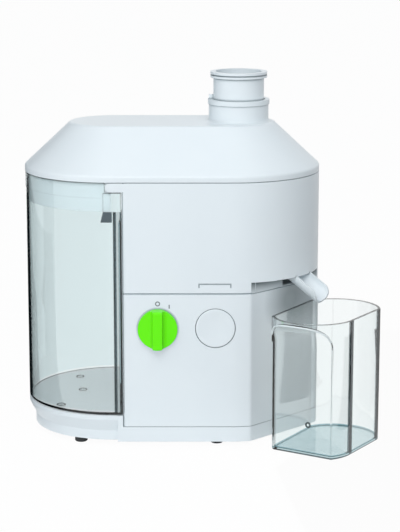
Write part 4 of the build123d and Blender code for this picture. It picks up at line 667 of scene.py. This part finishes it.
# %% Gate on the jug
GATE_PLACE = Vector((mm(101.65), mm(-95.34), mm(31.3)))
GATE_FACING = Vector((-0.5225, -0.8526, 0.0))
gate = ring(mm(1.3), mm(2.9), mm(0.5), 32)
to_facet = Vector((0, 0, 1)).rotation_difference(GATE_FACING).to_matrix().to_4x4()
bmesh.ops.transform(gate, matrix=Matrix.Translation(GATE_PLACE) @ to_facet, verts=gate.verts)
put("jug_gate", gate, gate_styrene, "juice_jug", "clear_plastic")

# %% [markdown]
# ## The jug's lip bead
#
# Along the lower edge of its lip light collects and shows as a pale line. That line is a painted
# highlight: a fine bead of pale, opaque plastic laid on the edge. The edge runs where the lip's
# hollow scoop, a quarter round, meets the jug's bowed front, so each point of it is found across
# the jug, then along it on the bow, then up on the scoop. A curve with a round section could draw
# it too. Circles joined into a tube were chosen, because their points can then be kept inside the
# box of the imported parts.

# %% Lip bead on the jug
JUG_ORIGIN = Vector((mm(83.42), mm(-47.81), 0.0))
ACROSS = Vector((0.85264, -0.52250, 0.0))
ALONG = Vector((0.52250, 0.85264, 0.0))
LIP_WIDTH, LIP_MARGIN = 65.4, 1.0
BOW_ACROSS, BOW_ALONG, BOW_RADIUS = 32.69, -5.42, 41.50
SCOOP_ALONG, SCOOP_HEIGHT, SCOOP_RADIUS = -53.0, 108.0, 22.0
BEAD_RADIUS, BEAD_LIFT, BEAD_STEPS = 0.9, 0.4, 40

path_points = []
for step in range(BEAD_STEPS + 1):
    across = LIP_MARGIN + step * (LIP_WIDTH - 2 * LIP_MARGIN) / BEAD_STEPS
    along = BOW_ALONG - sqrt(BOW_RADIUS ** 2 - (across - BOW_ACROSS) ** 2)
    up = SCOOP_HEIGHT + sqrt(SCOOP_RADIUS ** 2 - (along - SCOOP_ALONG) ** 2) + BEAD_LIFT
    path_points.append(JUG_ORIGIN + ACROSS * mm(across) + ALONG * mm(along) + Vector((0, 0, mm(up))))

bead = bmesh.new()
loops = []
for number, point in enumerate(path_points):
    ahead = path_points[min(number + 1, BEAD_STEPS)] - path_points[max(number - 1, 0)]
    turn = ahead.to_track_quat("Z", "X").to_matrix().to_4x4()
    made = bmesh.ops.create_circle(bead, segments=10, radius=mm(BEAD_RADIUS),
                                   cap_ends=number in (0, BEAD_STEPS),
                                   matrix=Matrix.Translation(point) @ turn)
    loops.append({edge for vert in made["verts"] for edge in vert.link_edges})
for first, second in zip(loops, loops[1:]):
    bmesh.ops.bridge_loops(bead, edges=list(first | second))
for vert in bead.verts:
    vert.co.y = max(vert.co.y, cad_box[0][1])
# The bead's pale plastic is a painted highlight where light collects on the lip.
put("jug_lip_highlight_bead", bead, highlight_bead_plastic, "juice_jug", "clear_plastic")

# %% [markdown]
# ## The container's ejector rings
#
# Three pins pushed the container out of its tool, and each left a flat ring in the floor. They
# could be cut into the floor, but as thin rings lying on it they catch the light in the same way
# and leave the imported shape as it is.

# %% Ejector rings in the container
CONTAINER_FLOOR = mm(34.3)
EJECTOR_PLACES = [(-125.8, 68.0), (-119.6, 18.9), (-137.0, -34.8)]
for number, (x, y) in enumerate(EJECTOR_PLACES, 1):
    pin = ring(mm(3.2), mm(4.4), mm(0.3), 32)
    bmesh.ops.translate(pin, vec=(mm(x), mm(y), CONTAINER_FLOOR), verts=pin.verts)
    put("ejector_ring_%d" % number, pin, container_styrene, "pulp_container", "clear_plastic")

# %% [markdown]
# ## The button's spring
#
# The coil behind the release button gets shorter when the button is pressed. A new helix could be
# drawn, but a copy of the imported coil has the right wire and turns already, so that stands in
# for it. It rides on the button, with a mesh of its own.

# %% A copy of the spring on the button
coil = bmesh.new()
coil.from_mesh(nodes["button_spring"].data)
spring = put("button_spring_coil", coil, stainless, "release_button", "stainless_steel", smooth=True)
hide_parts("button_spring")
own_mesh(spring)


# %% [markdown]
# ## The studio
#
# The photograph is a cut-out on pure white. A white background alone would leave the juicer
# floating, so it stands on a very large floor, which fills the whole view because the camera
# looks down. Seen by the camera, by gloss and through the clear plastic, the floor is mostly
# white light of strength one, and a share of ordinary white paint in it keeps the juicer's
# shadow. The sky above does the same for rays that leave the floor, and as a fill light it is
# slightly blue, like the shaded sides in the photograph.

# %% Floor and sky
FLOOR_HALF = 14.0
WHITE_SHARE = 0.965
AMBIENT = 0.47
WHITE = (1, 1, 1, 1)


def seen_rays(tree):
    """One for rays of the camera, of gloss and of refraction, and nought for diffuse light."""
    path = add(tree, "ShaderNodeLightPath")
    seen = path.outputs["Is Camera Ray"]
    for kind in ("Is Glossy Ray", "Is Transmission Ray"):
        seen = add(tree, "ShaderNodeMath", {"operation": "MAXIMUM"},
                   {0: seen, 1: path.outputs[kind]}).outputs[0]
    return seen


floor_paint, tree, _ = new_material("studio_white_paint")
share = add(tree, "ShaderNodeMath", {"operation": "MULTIPLY"}, {0: seen_rays(tree), 1: WHITE_SHARE})
paint = add(tree, "ShaderNodeBsdfDiffuse", None, {"Color": linear("#F7F7F7")})
light = add(tree, "ShaderNodeEmission", None, {"Color": WHITE, "Strength": 1.0})
finish_surface(tree, add(tree, "ShaderNodeMixShader", None,
                         {0: share.outputs[0], 1: paint.outputs[0], 2: light.outputs[0]}))
floor_maker = bmesh.new()
bmesh.ops.create_grid(floor_maker, x_segments=1, y_segments=1, size=FLOOR_HALF)
studio_floor = to_object("studio_floor", floor_maker, floor_paint)

world = bpy.data.worlds.new("studio_sky")
scene.world = world
world.use_nodes = True
tree = world.node_tree
tree.nodes.clear()
seen = seen_rays(tree)
strength = add(tree, "ShaderNodeMapRange", None, {"Value": seen, "To Min": AMBIENT, "To Max": 1.0})
tone = add(tree, "ShaderNodeMix", {"data_type": "RGBA"},
           {"Factor": seen, "A": linear("#F0F8FF"), "B": WHITE})
sky = add(tree, "ShaderNodeBackground", None,
          {"Color": tone.outputs["Result"], "Strength": strength.outputs[0]})
add(tree, "ShaderNodeOutputWorld", None, {"Surface": sky.outputs[0]})
print("floor of", 2 * FLOOR_HALF, "m and sky made")


# %% [markdown]
# ## The lamps
#
# The light is soft. The sky alone could give it, but then every side would be equally bright. A
# large softbox stands above the camera and lights the sloping front of the lid and the panel, a
# weaker one at the left lifts that end, and one overhead lights the flat top. The right side and
# the recess fall off to grey. The powers are such that a surface facing the lamps renders about
# the colour that its material was given.

# %% Softboxes
AIM = Vector((0.0, 0.0, 0.18))
BOX_SIZE = 1.6
SOFTBOXES = [("key_softbox", (0.0, -2.0, 1.6), 23.5),
             ("left_softbox", (-1.3, -1.7, 1.6), 10.3),
             ("top_softbox", (0.0, 0.1, 2.4), 3.8)]
for name, lamp_place, power in SOFTBOXES:
    lamp = bpy.data.objects.new(name, bpy.data.lights.new(name, "AREA"))
    lamp.data.shape = "SQUARE"
    lamp.data.size = BOX_SIZE
    lamp.data.energy = power
    lamp.location = lamp_place
    lamp.rotation_euler = (AIM - Vector(lamp_place)).to_track_quat("-Z", "Y").to_euler()
    scene.collection.objects.link(lamp)
scene.view_settings.view_transform = "Standard"
print("made", len(SOFTBOXES), "softboxes")

# %% [markdown]
# ## Black cards
#
# Clear things on white need something dark to draw their outlines. Their walls could be tinted
# instead, but then they would be dark all over, so studios place black cards just outside the
# picture. Four of these are seen in gloss, three of the four in refraction too, and the fifth
# only takes up diffuse light. None shows to the camera. All are matt black. The cards for the
# container also fade where they are seen straight through two of its walls, so that it stays
# clear from other sides, and work in full where a wall's edge mirrors them. A ray that has gone
# through one wall has crossed two surfaces, and one that was mirrored has a depth of gloss.

# %% Card black
CARD_BLACK = linear("#10181B")
ONE_WALL = 2.5
MIRRORED = 0.5
FADE = 0.75

card_black, tree, _ = new_material("black_card_matt")
finish_surface(tree, add(tree, "ShaderNodeBsdfDiffuse", None, {"Color": CARD_BLACK}))

edge_black, tree, _ = new_material("black_card_for_edges")
path = add(tree, "ShaderNodeLightPath")
two_walls = add(tree, "ShaderNodeMath", {"operation": "GREATER_THAN"},
                {0: path.outputs["Transmission Depth"], 1: ONE_WALL})
straight = add(tree, "ShaderNodeMath", {"operation": "LESS_THAN"},
               {0: path.outputs["Glossy Depth"], 1: MIRRORED})
through = add(tree, "ShaderNodeMath", {"operation": "MULTIPLY"},
              {0: two_walls.outputs[0], 1: straight.outputs[0]})
faded = add(tree, "ShaderNodeMath", {"operation": "MULTIPLY"}, {0: through.outputs[0], 1: FADE})
matt = add(tree, "ShaderNodeBsdfDiffuse", None, {"Color": CARD_BLACK})
gone = add(tree, "ShaderNodeBsdfTransparent")
finish_surface(tree, add(tree, "ShaderNodeMixShader", None,
                         {0: faded.outputs[0], 1: matt.outputs[0], 2: gone.outputs[0]}))
print("made", card_black.name, edge_black.name)


# %% [markdown]
# ## Placing the cards
#
# One card stands at the left and one lies on the table beside the container, cut to a slant along
# the line of sight: the container's round end bends the view onto it and draws a dark outline
# that widens to the bottom. Two on the table at the right keep white glare off the jug's inner
# side and darken its corners, and the strip of white table left between them is what the jug's
# right side mirrors. The last one takes away the light that the white table throws back at the
# recess, so that the right side falls off to grey. Each card moves with the clear piece beside
# it. The knob is kept out of diffuse light too, because in the photograph it throws no green on
# the panel.

# %% Cards at both sides
def dark_card(name, body, material, outline, height, in_gloss, in_glass):
    """A black card with a given plan, seen in gloss and perhaps refraction, or else by diffuse light."""
    maker = bmesh.new()
    base = maker.faces.new([maker.verts.new((x, y, 0.0)) for x, y in outline])
    raised = bmesh.ops.extrude_face_region(maker, geom=[base])["geom"]
    raised_verts = [item for item in raised if isinstance(item, bmesh.types.BMVert)]
    bmesh.ops.translate(maker, vec=(0, 0, height), verts=raised_verts)
    bmesh.ops.recalc_face_normals(maker, faces=maker.faces)
    card = to_object(name, maker, material)
    card.visible_camera = False
    card.visible_shadow = False
    card.visible_glossy = in_gloss
    card.visible_transmission = in_glass
    card.visible_diffuse = not in_gloss
    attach(card, body)


SHEET, TALL = mm(1), mm(1600)
STANDING = [(-0.46, -0.09), (-0.45, -0.09), (-0.45, 0.9), (-0.46, 0.9)]
SLANTED = [(-1.2, -0.09), (-0.19, -0.09), (-0.182, 0.13), (-0.267, 0.56), (-0.54, 1.3), (-1.2, 1.5)]
GLARE_FRONT = [(0.215, -0.15), (0.6, -0.15), (0.6, 0.17), (0.24, -0.055)]
GLARE_BACK = [(0.205, 0.01), (0.6, 0.25), (0.6, 0.4), (0.24, 0.4)]
FILL = [(0.07, -0.13), (0.12, -0.6), (0.7, -0.6), (0.7, 0.4), (0.2, 0.4), (0.13, 0.0)]
dark_card("left_card", "pulp_container", edge_black, STANDING, TALL, True, False)
dark_card("left_table_card", "pulp_container", edge_black, SLANTED, SHEET, True, True)
dark_card("right_front_card", "juice_jug", card_black, GLARE_FRONT, SHEET, True, True)
dark_card("right_back_card", "juice_jug", card_black, GLARE_BACK, SHEET, True, True)
dark_card("right_fill_card", "juice_jug", card_black, FILL, SHEET, False, False)
nodes["control_knob"].visible_diffuse = False
print("cards placed")
